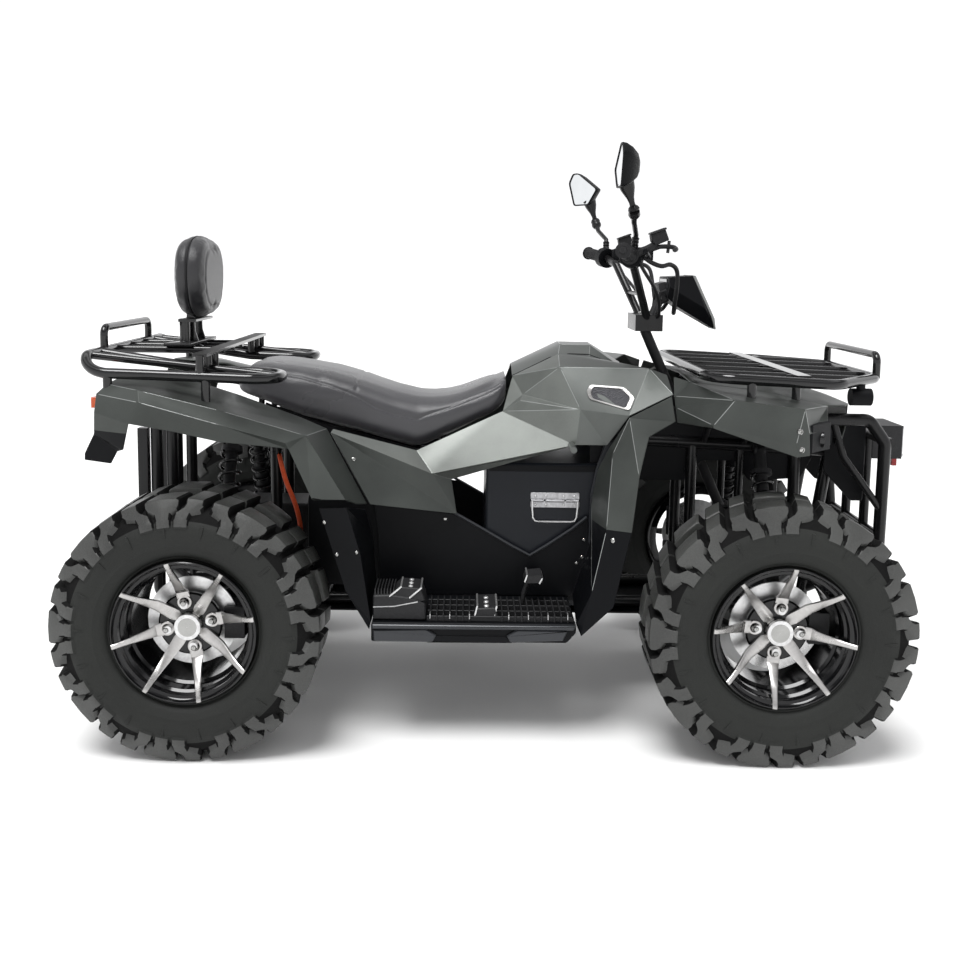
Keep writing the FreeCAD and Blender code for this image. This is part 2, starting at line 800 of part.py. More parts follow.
POD_OUTLINE_SHARES = ((0.0, 0.97), (0.54, 1.0), (0.93, 0.22), (1.0, 0.0), (0.24, 0.40), (0.0, 0.58))
pod_points = [
    Vector(size("pod_start") + size("pod_length") * u, -size("pod_width") / 2,
        size("pod_base") + size("pod_height") * v)
    for u, v in POD_OUTLINE_SHARES]
pod = prism(pod_points, LEFT * size("pod_width"))
pod_stay = cylinder(
    Vector(size("clamp_x"), 0, size("clamp_z") + size("clamp_height") / 2),
    pod_points[5] + LEFT * size("pod_width") / 2 + FORWARD * size("bar_radius"),
    size("bar_radius"))
solid_feature("instrument_pod", joined([pod, pod_stay.cut(clamp)]))

# Body panels
REAR_FENDER_CORNERS = {
    "deck_a": (0.037, 0.469, 1.019), "deck_b": (0.281, 0.469, 0.981), "deck_c": (0.478, 0.469, 0.859),
    "deck_d": (0.730, 0.510, 0.691), "deck_e": (0.838, 0.535, 0.606), "rib_a": (0.037, 0.816, 0.991),
    "rib_b": (0.175, 0.918, 0.963), "rib_c": (0.480, 0.929, 0.822), "rib_d": (0.794, 0.898, 0.634),
    "low_a": (0.005, 0.857, 0.922), "low_b": (0.192, 0.980, 0.884), "low_c": (0.491, 0.996, 0.728),
    "low_d": (0.728, 0.980, 0.597), "hem_a": (0.000, 0.878, 0.787), "hem_b": (0.150, 0.980, 0.725),
    "hem_c": (0.302, 0.980, 0.675), "hem_d": (0.486, 0.976, 0.594), "hem_e": (0.736, 0.959, 0.547),
    "leg_a": (0.816, 0.898, 0.144), "leg_b": (0.941, 0.898, 0.150), "leg_c": (0.978, 0.776, 0.078),
    "leg_d": (1.003, 0.612, 0.025), "tail_a": (0.003, 0.469, 0.944), "tail_b": (-0.005, 0.469, 0.719),
    "tail_c": (-0.005, 0.867, 0.625), "flap_a": (-0.041, 0.867, 0.475), "flap_b": (-0.042, 0.867, 0.422),
    "flap_c": (0.059, 0.882, 0.400), "flap_d": (0.087, 0.898, 0.497), "flap_e": (0.123, 0.959, 0.525),
}
REAR_FENDER_FACES = (
    "deck_a deck_b rib_b rib_a", "deck_b deck_c rib_c rib_b", "deck_c deck_d rib_d rib_c",
    "deck_d deck_e rib_d", "rib_a rib_b low_b low_a", "rib_b rib_c low_c low_b", "rib_c rib_d low_d low_c",
    "low_a low_b hem_b hem_a", "low_b low_c hem_d hem_c hem_b", "low_c low_d hem_e hem_d",
    "rib_d leg_a hem_e low_d", "rib_d leg_b leg_a", "rib_d leg_c leg_b", "rib_d deck_e leg_d leg_c",
    "deck_a rib_a low_a tail_a", "tail_a low_a hem_a tail_b", "tail_b hem_a tail_c",
    "hem_a hem_b flap_e tail_c", "tail_c flap_e flap_d flap_a", "flap_a flap_d flap_c flap_b",
)
FRONT_FENDER_CORNERS = {
    "top_a": (0.030, 0.510, 0.988), "top_b": (0.173, 0.510, 0.936), "top_c": (0.797, 0.510, 0.848),
    "top_d": (1.303, 0.612, 0.732), "rib_a": (0.005, 0.612, 0.812), "rib_b": (0.390, 0.939, 0.852),
    "rib_c": (0.940, 0.959, 0.780), "low_a": (0.013, 0.633, 0.704), "low_b": (0.227, 0.939, 0.608),
    "low_c": (0.870, 0.982, 0.440), "hem_a": (0.027, 0.653, 0.552), "hem_b": (0.230, 0.939, 0.580),
    "hem_c": (0.887, 0.971, 0.320), "front_a": (0.987, 0.955, 0.540), "front_b": (1.000, 0.951, 0.332),
    "front_c": (1.200, 0.816, 0.560),
}
FRONT_FENDER_FACES = (
    "top_b rib_b rib_a top_a", "top_c rib_c rib_b top_b", "top_d rib_c top_c", "rib_b low_b low_a rib_a",
    "rib_c low_c low_b rib_b", "low_b hem_b hem_a low_a", "low_c hem_c hem_b low_b", "front_a low_c rib_c",
    "front_a front_b hem_c low_c", "top_d front_c front_a rib_c",
)
NOSE_CORNERS = {
    "rear_a": (0.048, 0.984, 0.826), "rear_b": (0.078, 0.000, 0.838), "mid_a": (0.454, 0.984, 0.732),
    "mid_b": (0.454, 0.000, 0.740), "brow_a": (0.785, 1.168, 0.609), "brow_b": (0.800, 0.000, 0.694),
    "tip_a": (0.915, 1.000, 0.583), "tip_b": (0.957, 0.860, 0.591), "tip_c": (0.978, 0.000, 0.591),
    "face_a": (0.957, 0.820, 0.298), "face_b": (1.009, 0.000, 0.298), "chin_a": (0.935, 0.792, 0.094),
    "chin_b": (0.985, 0.000, 0.094),
}
NOSE_FACES = (
    "rear_b mid_b mid_a rear_a", "mid_b brow_b brow_a mid_a", "brow_b tip_b tip_a brow_a",
    "tip_c tip_b brow_b", "tip_c face_b face_a tip_b", "face_b chin_b chin_a face_a",
)
SIDE_PANEL_CORNERS = {
    "seat_a": (0.006, 0.800, 0.524), "seat_b": (0.249, 0.683, 0.383), "seat_c": (0.505, 0.640, 0.631),
    "cap_a": (0.535, 0.418, 0.838), "cap_b": (0.674, 0.418, 0.979), "cap_c": (0.768, 0.418, 0.964),
    "cap_d": (0.874, 0.353, 0.898), "edge_a": (0.565, 0.600, 0.733), "edge_b": (0.670, 0.740, 0.917),
    "edge_c": (0.932, 0.767, 0.917), "edge_d": (0.985, 0.767, 0.879), "edge_e": (0.992, 0.980, 0.776),
    "bulge_a": (0.556, 0.667, 0.702), "bulge_b": (0.728, 0.907, 0.671), "bulge_c": (0.867, 1.000, 0.645),
    "fold_a": (0.002, 0.873, 0.510), "fold_b": (0.299, 0.873, 0.262), "fold_c": (0.719, 0.873, 0.450),
    "fold_d": (0.811, 0.860, 0.448), "hem_a": (0.121, 0.993, 0.086), "hem_b": (0.373, 0.833, 0.007),
    "hem_c": (0.356, 0.800, 0.219), "hem_d": (0.621, 0.800, 0.381), "hem_e": (0.733, 0.807, 0.462),
}
SIDE_PANEL_FACES = (
    "cap_a cap_b edge_b edge_a", "cap_b cap_c edge_c edge_b", "cap_c cap_d edge_c",
    "seat_c cap_a edge_a bulge_a", "edge_a edge_b bulge_b bulge_a", "edge_b edge_c bulge_c bulge_b",
    "edge_c edge_d edge_e bulge_c", "seat_a seat_b fold_b fold_a", "seat_b seat_c fold_b",
    "seat_c bulge_a bulge_b fold_c", "seat_c fold_c fold_b", "bulge_b bulge_c fold_d fold_c",
    "fold_a fold_b hem_b hem_a", "fold_b hem_c hem_b", "fold_b fold_c hem_d hem_c", "fold_c hem_e hem_d",
    "fold_c fold_d hem_e",
)
TANK_CORNERS = {
    "ridge_a": (0.002, 0.000, 0.721), "ridge_b": (0.442, 0.000, 1.000), "ridge_c": (0.717, 0.000, 0.996),
    "ridge_d": (0.999, 0.000, 0.770), "top_a": (0.002, 0.492, 0.699), "top_b": (0.442, 0.492, 0.982),
    "top_c": (0.717, 0.492, 0.978), "top_d": (0.999, 0.492, 0.757), "side_a": (0.002, 1.000, 0.619),
    "side_b": (0.412, 1.000, 0.885), "side_c": (0.687, 1.000, 0.858), "side_d": (0.992, 0.836, 0.730),
    "low_d": (0.972, 0.820, 0.398), "low_e": (0.979, 0.000, 0.398),
}
TANK_FACES = (
    "ridge_b top_b top_a ridge_a", "ridge_c top_c top_b ridge_b", "ridge_d top_d top_c ridge_c",
    "top_b side_b side_a top_a", "top_c side_c side_b top_b", "top_d side_d side_c top_c",
    "ridge_d low_e low_d side_d top_d",
)
FRONT_APRON_CORNERS = {
    "strut_a": (0.532, 0.661, 0.892), "strut_b": (0.944, 0.661, 0.983), "strut_c": (0.983, 0.678, 0.880),
    "strut_d": (0.716, 0.717, 0.818), "knee_a": (0.367, 0.696, 0.740), "knee_b": (0.599, 0.826, 0.663),
    "shin_a": (0.285, 0.870, 0.447), "shin_b": (0.513, 0.935, 0.450), "calf_a": (0.144, 0.935, 0.197),
    "calf_b": (0.348, 0.978, 0.148), "toe_a": (0.000, 0.957, 0.070), "toe_b": (0.042, 1.000, 0.032),
    "blade_a": (0.356, 0.574, 0.750), "blade_b": (0.254, 0.548, 0.652), "blade_c": (0.207, 0.535, 0.533),
    "blade_d": (0.199, 0.522, 0.312), "blade_e": (0.034, 0.513, 0.090),
}
FRONT_APRON_FACES = (
    "strut_a strut_b strut_c strut_d", "strut_a strut_d knee_b knee_a", "knee_a knee_b shin_b shin_a",
    "shin_a shin_b calf_b calf_a", "calf_a calf_b toe_b toe_a", "strut_a knee_a blade_a",
    "blade_a knee_a blade_b", "blade_b knee_a shin_a blade_c", "blade_c shin_a calf_a blade_d",
    "blade_d calf_a toe_a blade_e",
)
REAR_APRON_CORNERS = {
    "rear_a": (0.054, 0.935, 0.977), "rear_b": (0.254, 0.935, 0.677), "rear_c": (0.528, 0.957, 0.313),
    "rear_d": (0.980, 0.989, 0.007), "face_a": (0.550, 0.935, 0.987), "face_b": (0.802, 0.939, 0.600),
    "face_c": (1.000, 0.967, 0.050), "well_a": (0.817, 0.674, 0.887), "well_b": (0.906, 0.522, 0.600),
    "well_c": (1.000, 0.513, 0.050),
}
REAR_APRON_FACES = (
    "rear_a face_a face_b rear_b", "rear_b face_b face_c rear_c", "rear_c face_c rear_d",
    "face_a well_a well_b face_b", "face_b well_b well_c face_c",
)


def side_moulding(table, faces, start, length, half, base, height):
    """One panel of a pair, in the box that its named sizes give."""
    return moulding(table, faces, start, size(length), size(half), base, size(height))


tank_start = size("seat_start") + size("seat_length") + size("panel_gap")
tank_length = size("tank_front") - tank_start
front_apron_start = size("footboard_start") + size("footboard_length") + size("panel_gap")
rear_apron_start = size("footboard_start") - size("rear_apron_length") - size("panel_gap")
front_fender = side_moulding(
    FRONT_FENDER_CORNERS, FRONT_FENDER_FACES, size("front_fender_start"), "front_fender_length",
    "fender_half",
    size("front_fender_base"), "front_fender_height")
rear_fender = side_moulding(
    REAR_FENDER_CORNERS, REAR_FENDER_FACES, size("rear_fender_start"), "rear_fender_length", "fender_half",
    size("rear_fender_base"), "rear_fender_height")
side_panel = side_moulding(
    SIDE_PANEL_CORNERS, SIDE_PANEL_FACES, size("side_start"), "side_length", "side_half", size("side_base"),
    "side_height")
front_apron = side_moulding(
    FRONT_APRON_CORNERS, FRONT_APRON_FACES, front_apron_start, "front_apron_length", "apron_half",
    size("front_apron_base"), "front_apron_height")
rear_apron = side_moulding(
    REAR_APRON_CORNERS, REAR_APRON_FACES, rear_apron_start, "rear_apron_length", "apron_half",
    size("rear_apron_base"), "rear_apron_height")
nose_panel = side_moulding(
    *with_far_half(NOSE_CORNERS, NOSE_FACES), size("nose_start"), "nose_length", "nose_half",
    size("nose_base"),
    "nose_height")
tank_cover = moulding(
    *with_far_half(TANK_CORNERS, TANK_FACES), tank_start, tank_length, size("tank_half"), size("tank_base"),
    size("tank_height"))
for (side, sign), front, rear in zip(SIDES, both(front_fender), both(rear_fender)):
    solid_feature("front_fender_" + side, front)
    solid_feature("rear_fender_" + side, rear)
solid_feature("nose_panel", nose_panel)
solid_feature("side_panels", Part.makeCompound(both(side_panel)))
solid_feature("front_aprons", Part.makeCompound(both(front_apron)))
solid_feature("rear_aprons", Part.makeCompound(both(rear_apron)))
COWL_SHARES = (
    (0.00, 0.00), (-0.01, 0.64), (-0.03, 0.99), (0.368, 0.875), (0.716, 0.430), (0.991, 0.875), (1.00, 0.53),
    (0.93, 0.00))
cowl_base = size("footboard_base") + size("footboard_thickness") + size("panel_gap")
cowl = prism([
    Vector(
        size("cowl_start") + size("cowl_length") * u, size("cowl_half") - wall,
        cowl_base + size("cowl_height") * v)
    for u, v in COWL_SHARES], LEFT * wall)
solid_feature("side_cowls", Part.makeCompound(both(cowl)))

# Seat, tank cover and backrest
SEAT_SIDE_SHARES = (
    (0.008, 0.66, 0.86, 0.88), (0.048, 0.62, 0.94, 0.96), (0.112, 0.55, 0.965, 1.0), (0.244, 0.39, 0.93, 1.0),
    (0.44, 0.23, 0.82, 0.97), (0.575, 0.115, 0.675, 0.94), (0.662, 0.042, 0.61, 0.93),
    (0.767, 0.195, 0.61, 0.91),
    (0.877, 0.36, 0.72, 0.88), (0.945, 0.455, 0.82, 0.82), (0.985, 0.60, 0.875, 0.66),
)
SEAT_ROUND_SHARES = ((-1.0, 0.0), (-1.0, 0.55), (-0.72, 0.92), (0.0, 1.0), (0.72, 0.92), (1.0, 0.55),
    (1.0, 0.0))


def saddle(shares, start, length, half, base, height):
    sections = []
    for u, low, high, wide in shares:
        x = start + length * u
        z0, z1 = base + height * low, base + height * high
        sections.append([Vector(x, half * wide * w, z0 + (z1 - z0) * v) for w, v in SEAT_ROUND_SHARES])
    return lofted(sections)


seat = saddle(
    SEAT_SIDE_SHARES, size("seat_start"), size("seat_length"), size("seat_half"), size("seat_base"),
    size("seat_height"))
solid_feature("seat", seat)
solid_feature("tank_cover", tank_cover)

# Frame
rail_z, rail_y, upper_y = size("rail_height"), size("rail_half"), size("upper_rail_half")
rail = size("rail_radius")
bend = size("bend_radius")
deck = size("deck_height")
upper_z = size("seat_base") + size("seat_height") * 0.27
front_upper_z = deck * 0.86
rear_post_x = -size("arm_spread") - rail * 2.6
nose_post_x = front_x + size("arm_spread") + rail * 2
lower_rail = tube([
    Vector(rear_post_x, rail_y, upper_z), Vector(rear_post_x, rail_y, rail_z),
    Vector(nose_post_x, rail_y, rail_z),
    Vector(nose_post_x + bend, upper_y, front_upper_z)], rail, bend / 2)
seat_dip_z = size("seat_base") - rail * 1.5
tank_rail_z = size("tank_base") - rail * 1.25
upper_path = [
    Vector(size("hitch_post_x") + rail * 2, upper_y, upper_z),
    Vector(size("seat_start") + bend * 2, upper_y, upper_z),
    Vector(size("battery_start") - bend * 2, upper_y, seat_dip_z),
    Vector(tank_start + bend * 2, upper_y, tank_rail_z),
    Vector(nose_post_x + bend, upper_y, front_upper_z)]
upper_rail = tube(upper_path, rail, bend)


def on_rail(x):
    """The upper rail's own place at a given length."""
    for start, end in zip(upper_path, upper_path[1:]):
        if x <= end.x:
            return start + (end - start) * ((x - start.x) / (end.x - start.x))


cross_places = (
    Vector(size("skid_start") + bend, rail_y, rail_z), Vector(front_x, rail_y, rail_z),
    Vector(nose_post_x + bend, upper_y, front_upper_z), Vector(size("hitch_post_x") + rail * 2, upper_y,
        upper_z),
    Vector(tank_start + bend * 2, upper_y, tank_rail_z))
crosses = [cylinder(Vector(p.x, -p.y, p.z), p, rail * 0.9) for p in cross_places]
posts = []
for x in (0, front_x):
    for along in (size("arm_spread"), -size("arm_spread")):
        posts.append(cylinder(Vector(x + along, rail_y, rail_z), on_rail(x + along), rail * 0.95))
bearing = box(
    column_foot + Vector(-rail * 2, -rail * 2, plate * 4), column_foot
        + Vector(rail * 2, rail * 2, plate * 6))
bearing_bar = cylinder(
    Vector(column_foot_x, -upper_y, column_foot_z + plate * 5),
    Vector(column_foot_x, upper_y, column_foot_z + plate * 5), rail * 0.7)
bearing_leg = cylinder(
    Vector(column_foot_x, upper_y, column_foot_z + plate * 5), on_rail(column_foot_x), rail * 0.7)
bearing_hole = cylinder(column_foot, column_head, size("column_radius") + size("pin_gap"))
stay_radius = rail * 0.5


def stay(start, end, skin):
    return both(trimmed(cylinder(start, end, stay_radius), skin, start))


stays = []
front_fender_top = size("front_fender_base") + size("front_fender_height")
rear_fender_top = size("rear_fender_base") + size("rear_fender_height")
for x, top in ((rear_post_x, rear_fender_top + wall * 5), (size("arm_spread") - rail,
        rear_fender_top - wall * 5)):
    stays += stay(on_rail(x), Vector(x, size("fender_half") * 0.8, top), rear_fender)
for x in (front_x, front_x - size("arm_spread") + rail * 2):
    stays += stay(on_rail(x), Vector(x, size("fender_half") * 0.64, front_fender_top), front_fender)
seat_top, tank_top = size("seat_base") + size("seat_height"), size("tank_base") + size("tank_height")
for x, skin, top in (
        (nose_post_x, nose_panel, size("nose_base") + size("nose_height")),
        (size("seat_start") + bend, seat, seat_top),
        (tank_start - bend * 3, seat, seat_top), (tank_start + bend * 2, tank_cover, tank_top)):
    root = on_rail(x)
    stays += stay(root, Vector(x, root.y * 0.7, top), skin)
for x in (size("seat_start") + size("seat_length") / 2, tank_start + tank_length / 2):
    root = on_rail(x)
    stays += stay(root, Vector(x, size("fender_half") * 0.7, root.z), side_panel)
for share in (0.15, 0.85):
    x = size("footboard_start") + size("footboard_length") * share
    root = Vector(x, rail_y, rail_z + stay_radius)
    tip = Vector(x, size("footboard_inner_half") - size("panel_gap"), rail_z + stay_radius)
    stays += both(cylinder(root, tip, stay_radius))
frame_solid = joined([bearing, bearing_bar] + crosses + both(lower_rail) + both(upper_rail)
    + both(bearing_leg)
                     + [copy for post in posts for copy in both(post)] + stays)
solid_feature("frame", frame_solid.cut(bearing_hole))

# Plain blocks and plates made as pads
skid_low = rail_z - rail - size("skid_thickness")
skid = padded("skid_plate", "XY_Plane", [
    (size("skid_start"), -size("skid_width") / 2), (size("skid_start") + size("skid_length"),
        -size("skid_width") / 2),
    (size("skid_start") + size("skid_length"), size("skid_width") / 2),
    (size("skid_start"), size("skid_width") / 2)],
    "skid_thickness", False)
skid.Placement.Base = UP * skid_low
keep(skid)

battery = document.addObject("Part::Box", "battery_box")
battery.setExpression("Length", "sizes.battery_length")
battery.setExpression("Width", "sizes.battery_half * 2")
battery.setExpression("Height", "sizes.battery_height")
battery.Placement.Base = Vector(size("battery_start"), -size("battery_half"),
    rail_z + rail + size("panel_gap"))
keep(battery)

motor = document.addObject("Part::Box", "drive_unit")
motor.setExpression("Length", "sizes.motor_length")
motor.setExpression("Width", "sizes.motor_width - sizes.rail_radius * 4")
motor.setExpression("Height", "sizes.motor_height")
motor.Placement.Base = Vector(size("motor_start"), -size("motor_width") / 2 + rail * 2,
    rail_z - rail + size("panel_gap"))
keep(motor)

diff = document.addObject("Part::Box", "front_differential")
diff.setExpression("Length", "sizes.diff_length")
diff.setExpression("Width", "sizes.diff_width")
diff.setExpression("Height", "sizes.diff_height - sizes.rail_radius * 2")
diff.Placement.Base = Vector(
    front_x - size("diff_length") / 2, -size("diff_width") / 2, rail_z + rail * 0.9 + size("panel_gap"))
keep(diff)


def suspension_arms(x, ball_half, heights):
    """Upper and lower wishbones of one axle, both sides."""
    pieces = []
    pivot_half = rail_y + rail + size("arm_radius") * 1.2 + size("panel_gap")
    for ball_z, pivot_z in heights:
        for sign in (1, -1):
            ball = Vector(x, sign * ball_half, ball_z)
            ring, hole = eye(ball, size("kingpin_radius") + size("pin_gap"), size("eye_wall"),
                size("arm_radius") * 2)
            legs = []
            for along in (1, -1):
                pivot = Vector(x + along * size("arm_spread"), sign * pivot_half, pivot_z)
                legs.append(cylinder(pivot, ball - LEFT * sign * size("kingpin_radius"), size("arm_radius")))
                sleeve = FORWARD * size("arm_radius") * 2
                legs.append(cylinder(pivot - sleeve, pivot + sleeve, size("arm_radius") * 1.2))
            pieces.append(joined([ring] + legs).cut(hole))
    return pieces


low_ball, high_ball = axle_z - size("lower_ball_drop"), axle_z + size("upper_ball_rise")
arm_heights = ((low_ball, rail_z), (high_ball, high_ball))
solid_feature("front_suspension_arms", Part.makeCompound(
    suspension_arms(front_x, size("kingpin_half"), arm_heights)))
rear_arms = []
for shape in suspension_arms(0, rear_king, arm_heights):
    rear_arms.append(shape)
solid_feature("rear_suspension_arms", Part.makeCompound(rear_arms))


SHOCK_SHARE = 0.75
COIL_COUNT, COIL_SIDES = 7, 10
COIL_SPAN_SHARES = (0.2, 0.6)


def shocks(x, ball_half, top_z):
    """Coil-over dampers from the upper wishbones' front legs to the upper rails."""
    pieces = []
    eye_r = size("shock_eye_radius")
    pivot_half = rail_y + rail + size("arm_radius") * 1.2 + size("panel_gap")
    at_x = x + size("arm_spread") * (1 - SHOCK_SHARE)
    foot = Vector(
        at_x, pivot_half + (ball_half - size("kingpin_radius") - pivot_half) * SHOCK_SHARE,
        high_ball + size("arm_radius") + eye_r + size("panel_gap"))
    head = Vector(at_x, upper_y + rail + eye_r + size("panel_gap"), top_z)
    unit = (head - foot).normalize()
    length = (head - foot).Length
    rod = cylinder(foot, head, size("shock_rod_radius") * 1.4)
    across = unit.cross(FORWARD).normalize()
    coils = []
    for turn in range(COIL_COUNT):
        middle = foot + unit * length * (COIL_SPAN_SHARES[0] + COIL_SPAN_SHARES[1] * turn / COIL_COUNT)
        ring = []
        for side in range(COIL_SIDES):
            angle = 2 * math.pi * side / COIL_SIDES
            ring.append(middle + (FORWARD * math.cos(angle) + across * math.sin(angle))
                * size("shock_radius"))
        coils.append(prism(ring, unit * length * COIL_SPAN_SHARES[1] / COIL_COUNT / 2))
    eyes = [cylinder(p - FORWARD * eye_r, p + FORWARD * eye_r, eye_r) for p in (foot, head)]
    return both(joined([rod] + coils + eyes))


solid_feature("front_shocks", Part.makeCompound(shocks(front_x, size("kingpin_half"), front_upper_z)))
solid_feature("rear_shocks", Part.makeCompound(shocks(0, rear_king, upper_z)))

shafts = []
for x, king in ((front_x, size("kingpin_half")), (0, rear_king)):
    inner_half = (size("diff_width") / 2) if x else size("motor_width") / 2 - rail * 2
    for sign in (1, -1):
        start = Vector(x, sign * (inner_half + size("panel_gap")), axle_z)
        end = Vector(x, sign * (king - math.hypot(size("knuckle_width"), size("knuckle_thickness")) / 2
            - size("running_gap")), axle_z)
        unit = LEFT * sign
        shafts.append(joined([
            cylinder(start, end, size("shaft_radius")),
            Part.makeCone(size("boot_radius"), size("shaft_radius") * 1.3, size("boot_radius") * 1.6, start,
                unit),
            Part.makeCone(size("shaft_radius") * 1.3, size("boot_radius") * 0.8, size("boot_radius") * 1.4,
                end - unit * size("boot_radius") * 1.4, unit)]))
solid_feature("half_shafts", Part.makeCompound(shafts))

for side, sign in SIDES:
    near, far = sorted((sign * size("footboard_inner_half"), sign * size("footboard_outer_half")))
    start, length = size("footboard_start"), size("footboard_length")
    board = padded("footboard_" + side, "XY_Plane", [
        (start, near), (start + length, near), (start + length, far), (start, far)], "footboard_thickness",
            False)
    board.Placement.Base = UP * size("footboard_base")
    keep(board)

step_low = Vector(size("step_start"), size("footboard_outer_half") - size("step_width"),
    size("footboard_base") + size("footboard_thickness"))
step_block = box(step_low, step_low + Vector(size("step_length"), size("step_width") * 0.8,
    size("step_height") + size("panel_gap")))
solid_feature("passenger_steps", Part.makeCompound(both(step_block)))

pedal_x = size("footboard_start") + size("footboard_length") * 0.75
pedal_base = size("footboard_base") + size("footboard_thickness")
pedal = joined([
    box(Vector(pedal_x, -size("footboard_inner_half") - size("hook_width") * 3,
        pedal_base + size("hook_width") * 1.2),
        Vector(pedal_x + size("hook_width"), -size("footboard_inner_half") - size("hook_width"),
            pedal_base + size("hook_width") * 1.6)),
    box(Vector(pedal_x, -size("footboard_inner_half") - size("hook_width") * 2.2, pedal_base),
        Vector(pedal_x + size("hook_thickness"), -size("footboard_inner_half") - size("hook_width") * 1.8,
            pedal_base + size("hook_width") * 1.4))])
solid_feature("brake_pedal", pedal)

pad_x = size("pad_centre_x")
pad_depth, pad_width = size("pad_depth"), size("pad_width")
pad_low = Vector(pad_x - pad_depth / 2, -pad_width / 2, size("pad_bottom"))
backrest = document.addObject("Part::Box", "backrest_pad")
backrest.setExpression("Length", "sizes.pad_depth")
backrest.setExpression("Width", "sizes.pad_width")
backrest.setExpression("Height", "sizes.pad_height")
backrest.Placement.Base = pad_low
keep(backrest)

# Racks
tube_r, rung_r = size("rack_tube_radius"), size("rack_bar_radius")


def rack_part(path, bars, legs, skin):
    """Outer tube, thinner lengthwise bars and legs of one side, with their mirror images."""
    pieces = both(tube(path, tube_r, size("rack_bend_radius")))
    for start, end in bars:
        pieces.append(cylinder(start, end, rung_r))
    for top in legs:
        leg = cylinder(top - UP * size("rack_leg_length"), top, size("rack_leg_radius"))
        pieces += both(trimmed(leg, skin, top))
    return pieces


def cross_bar(x, z, half):
    wide, thick = size("cross_bar_width") / 2, size("cross_bar_thickness") / 2
    return box(Vector(x - wide, -half, z - thick), Vector(x + wide, half, z + thick))


def hoop(x, z, half):
    foot = Vector(x, half, z)
    top = foot + UP * size("hoop_rise")
    return tube([foot, top, top - LEFT * half * 2, foot - LEFT * half * 2], rung_r, size("hoop_rise") / 3)


rear_start, rear_stop = size("rear_rack_rear"), size("rear_rack_front")
rear_half, rear_inner = size("rear_rack_half"), size("rear_rack_inner_half")
rear_z, drop = size("rear_rack_height"), size("rear_rack_drop")


side_z = rear_z - size("rear_rack_step")
corner_x = rear_start + tube_r * 2


def rear_rack_z(x):
    """How high the side loops of the rear rack run at a given length."""
    return side_z - drop * (x - corner_x) / (rear_stop - corner_x)


rear_path = [
    Vector(rear_start, 0, rear_z), Vector(rear_start, rear_half - tube_r * 4, rear_z),
    Vector(corner_x, rear_half, side_z),
    Vector(rear_stop, rear_half, rear_rack_z(rear_stop)), Vector(rear_stop, rear_inner,
        rear_rack_z(rear_stop)),
    Vector(size("rear_cross_x"), rear_inner, rear_rack_z(size("rear_cross_x"))),
    Vector(rear_start, rear_inner, rear_z)]
rear_bars = [
    (Vector(rear_start, rear_inner * share, rear_z), Vector(size("rear_cross_x"), rear_inner * share, rear_z))
    for share in (-0.5, 0, 0.5)]
middle_half = (rear_half + rear_inner) / 2
rear_bars += [
    (Vector(rear_start, sign * middle_half, rear_z),
     Vector(rear_stop, sign * middle_half, rear_rack_z(rear_stop)))
    for _, sign in SIDES]
rear_legs = [
    Vector(x, rear_half, rear_rack_z(x)) for x in (size("hitch_post_x"), size("rear_cross_x") + tube_r)]
rear_pieces = rack_part(rear_path, rear_bars, rear_legs, rear_fender)
bar_lift = tube_r - size("cross_bar_thickness") / 2
rear_pieces.append(cross_bar(size("rear_cross_x"), rear_z + bar_lift, rear_half))
for y in (rear_half, rear_inner, middle_half):
    foot = Vector(size("rear_cross_x"), y, rear_rack_z(size("rear_cross_x")))
    rear_pieces += both(cylinder(foot, Vector(foot.x, y, rear_z + bar_lift), rung_r))
rear_pieces.append(hoop(rear_start, rear_z, size("rear_hoop_half")))
solid_feature("rear_rack", joined(rear_pieces))
front_start, front_stop = size("front_rack_rear"), size("front_rack_front")
front_half = size("front_rack_half")
front_z = size("front_rack_height")
front_bend, tip_half = size("front_rack_bend"), size("front_rack_tip_half")
front_high = front_z + size("front_rack_rise")
front_path = [
    Vector(front_start, 0, front_high), Vector(front_start, front_half, front_high),
    Vector(front_bend, front_half, front_z),
    Vector(front_stop, tip_half, front_z), Vector(front_stop, 0, front_z)]


def front_rack_z(x):
    return front_high + (front_z - front_high) * (x - front_start) / (front_stop - front_start)


front_bars = []
for share, reach in ((0, front_stop), (0.36, front_stop), (0.7,
        front_bend + (front_stop - front_bend) * 0.6)):
    for side_share in sorted({-share, share}):
        y = front_half * side_share
        front_bars.append((
            Vector(front_start, y, front_rack_z(front_start)), Vector(reach, y, front_rack_z(reach))))
front_legs = [
    Vector(front_start + front_half * share, front_half * wide,
        front_rack_z(front_start + front_half * share))
    for share, wide in ((0.27, 1.0), (0.62, 0.79))]
front_pieces = rack_part(front_path, front_bars, front_legs, front_fender)
front_cross_x = (front_start + front_stop) / 2
front_pieces.append(cross_bar(front_cross_x, front_rack_z(front_cross_x) + bar_lift, front_half * 0.95))
front_pieces.append(hoop(front_stop, front_z, size("rear_hoop_half")))
front_rack = joined(front_pieces)
solid_feature("front_rack", front_rack)

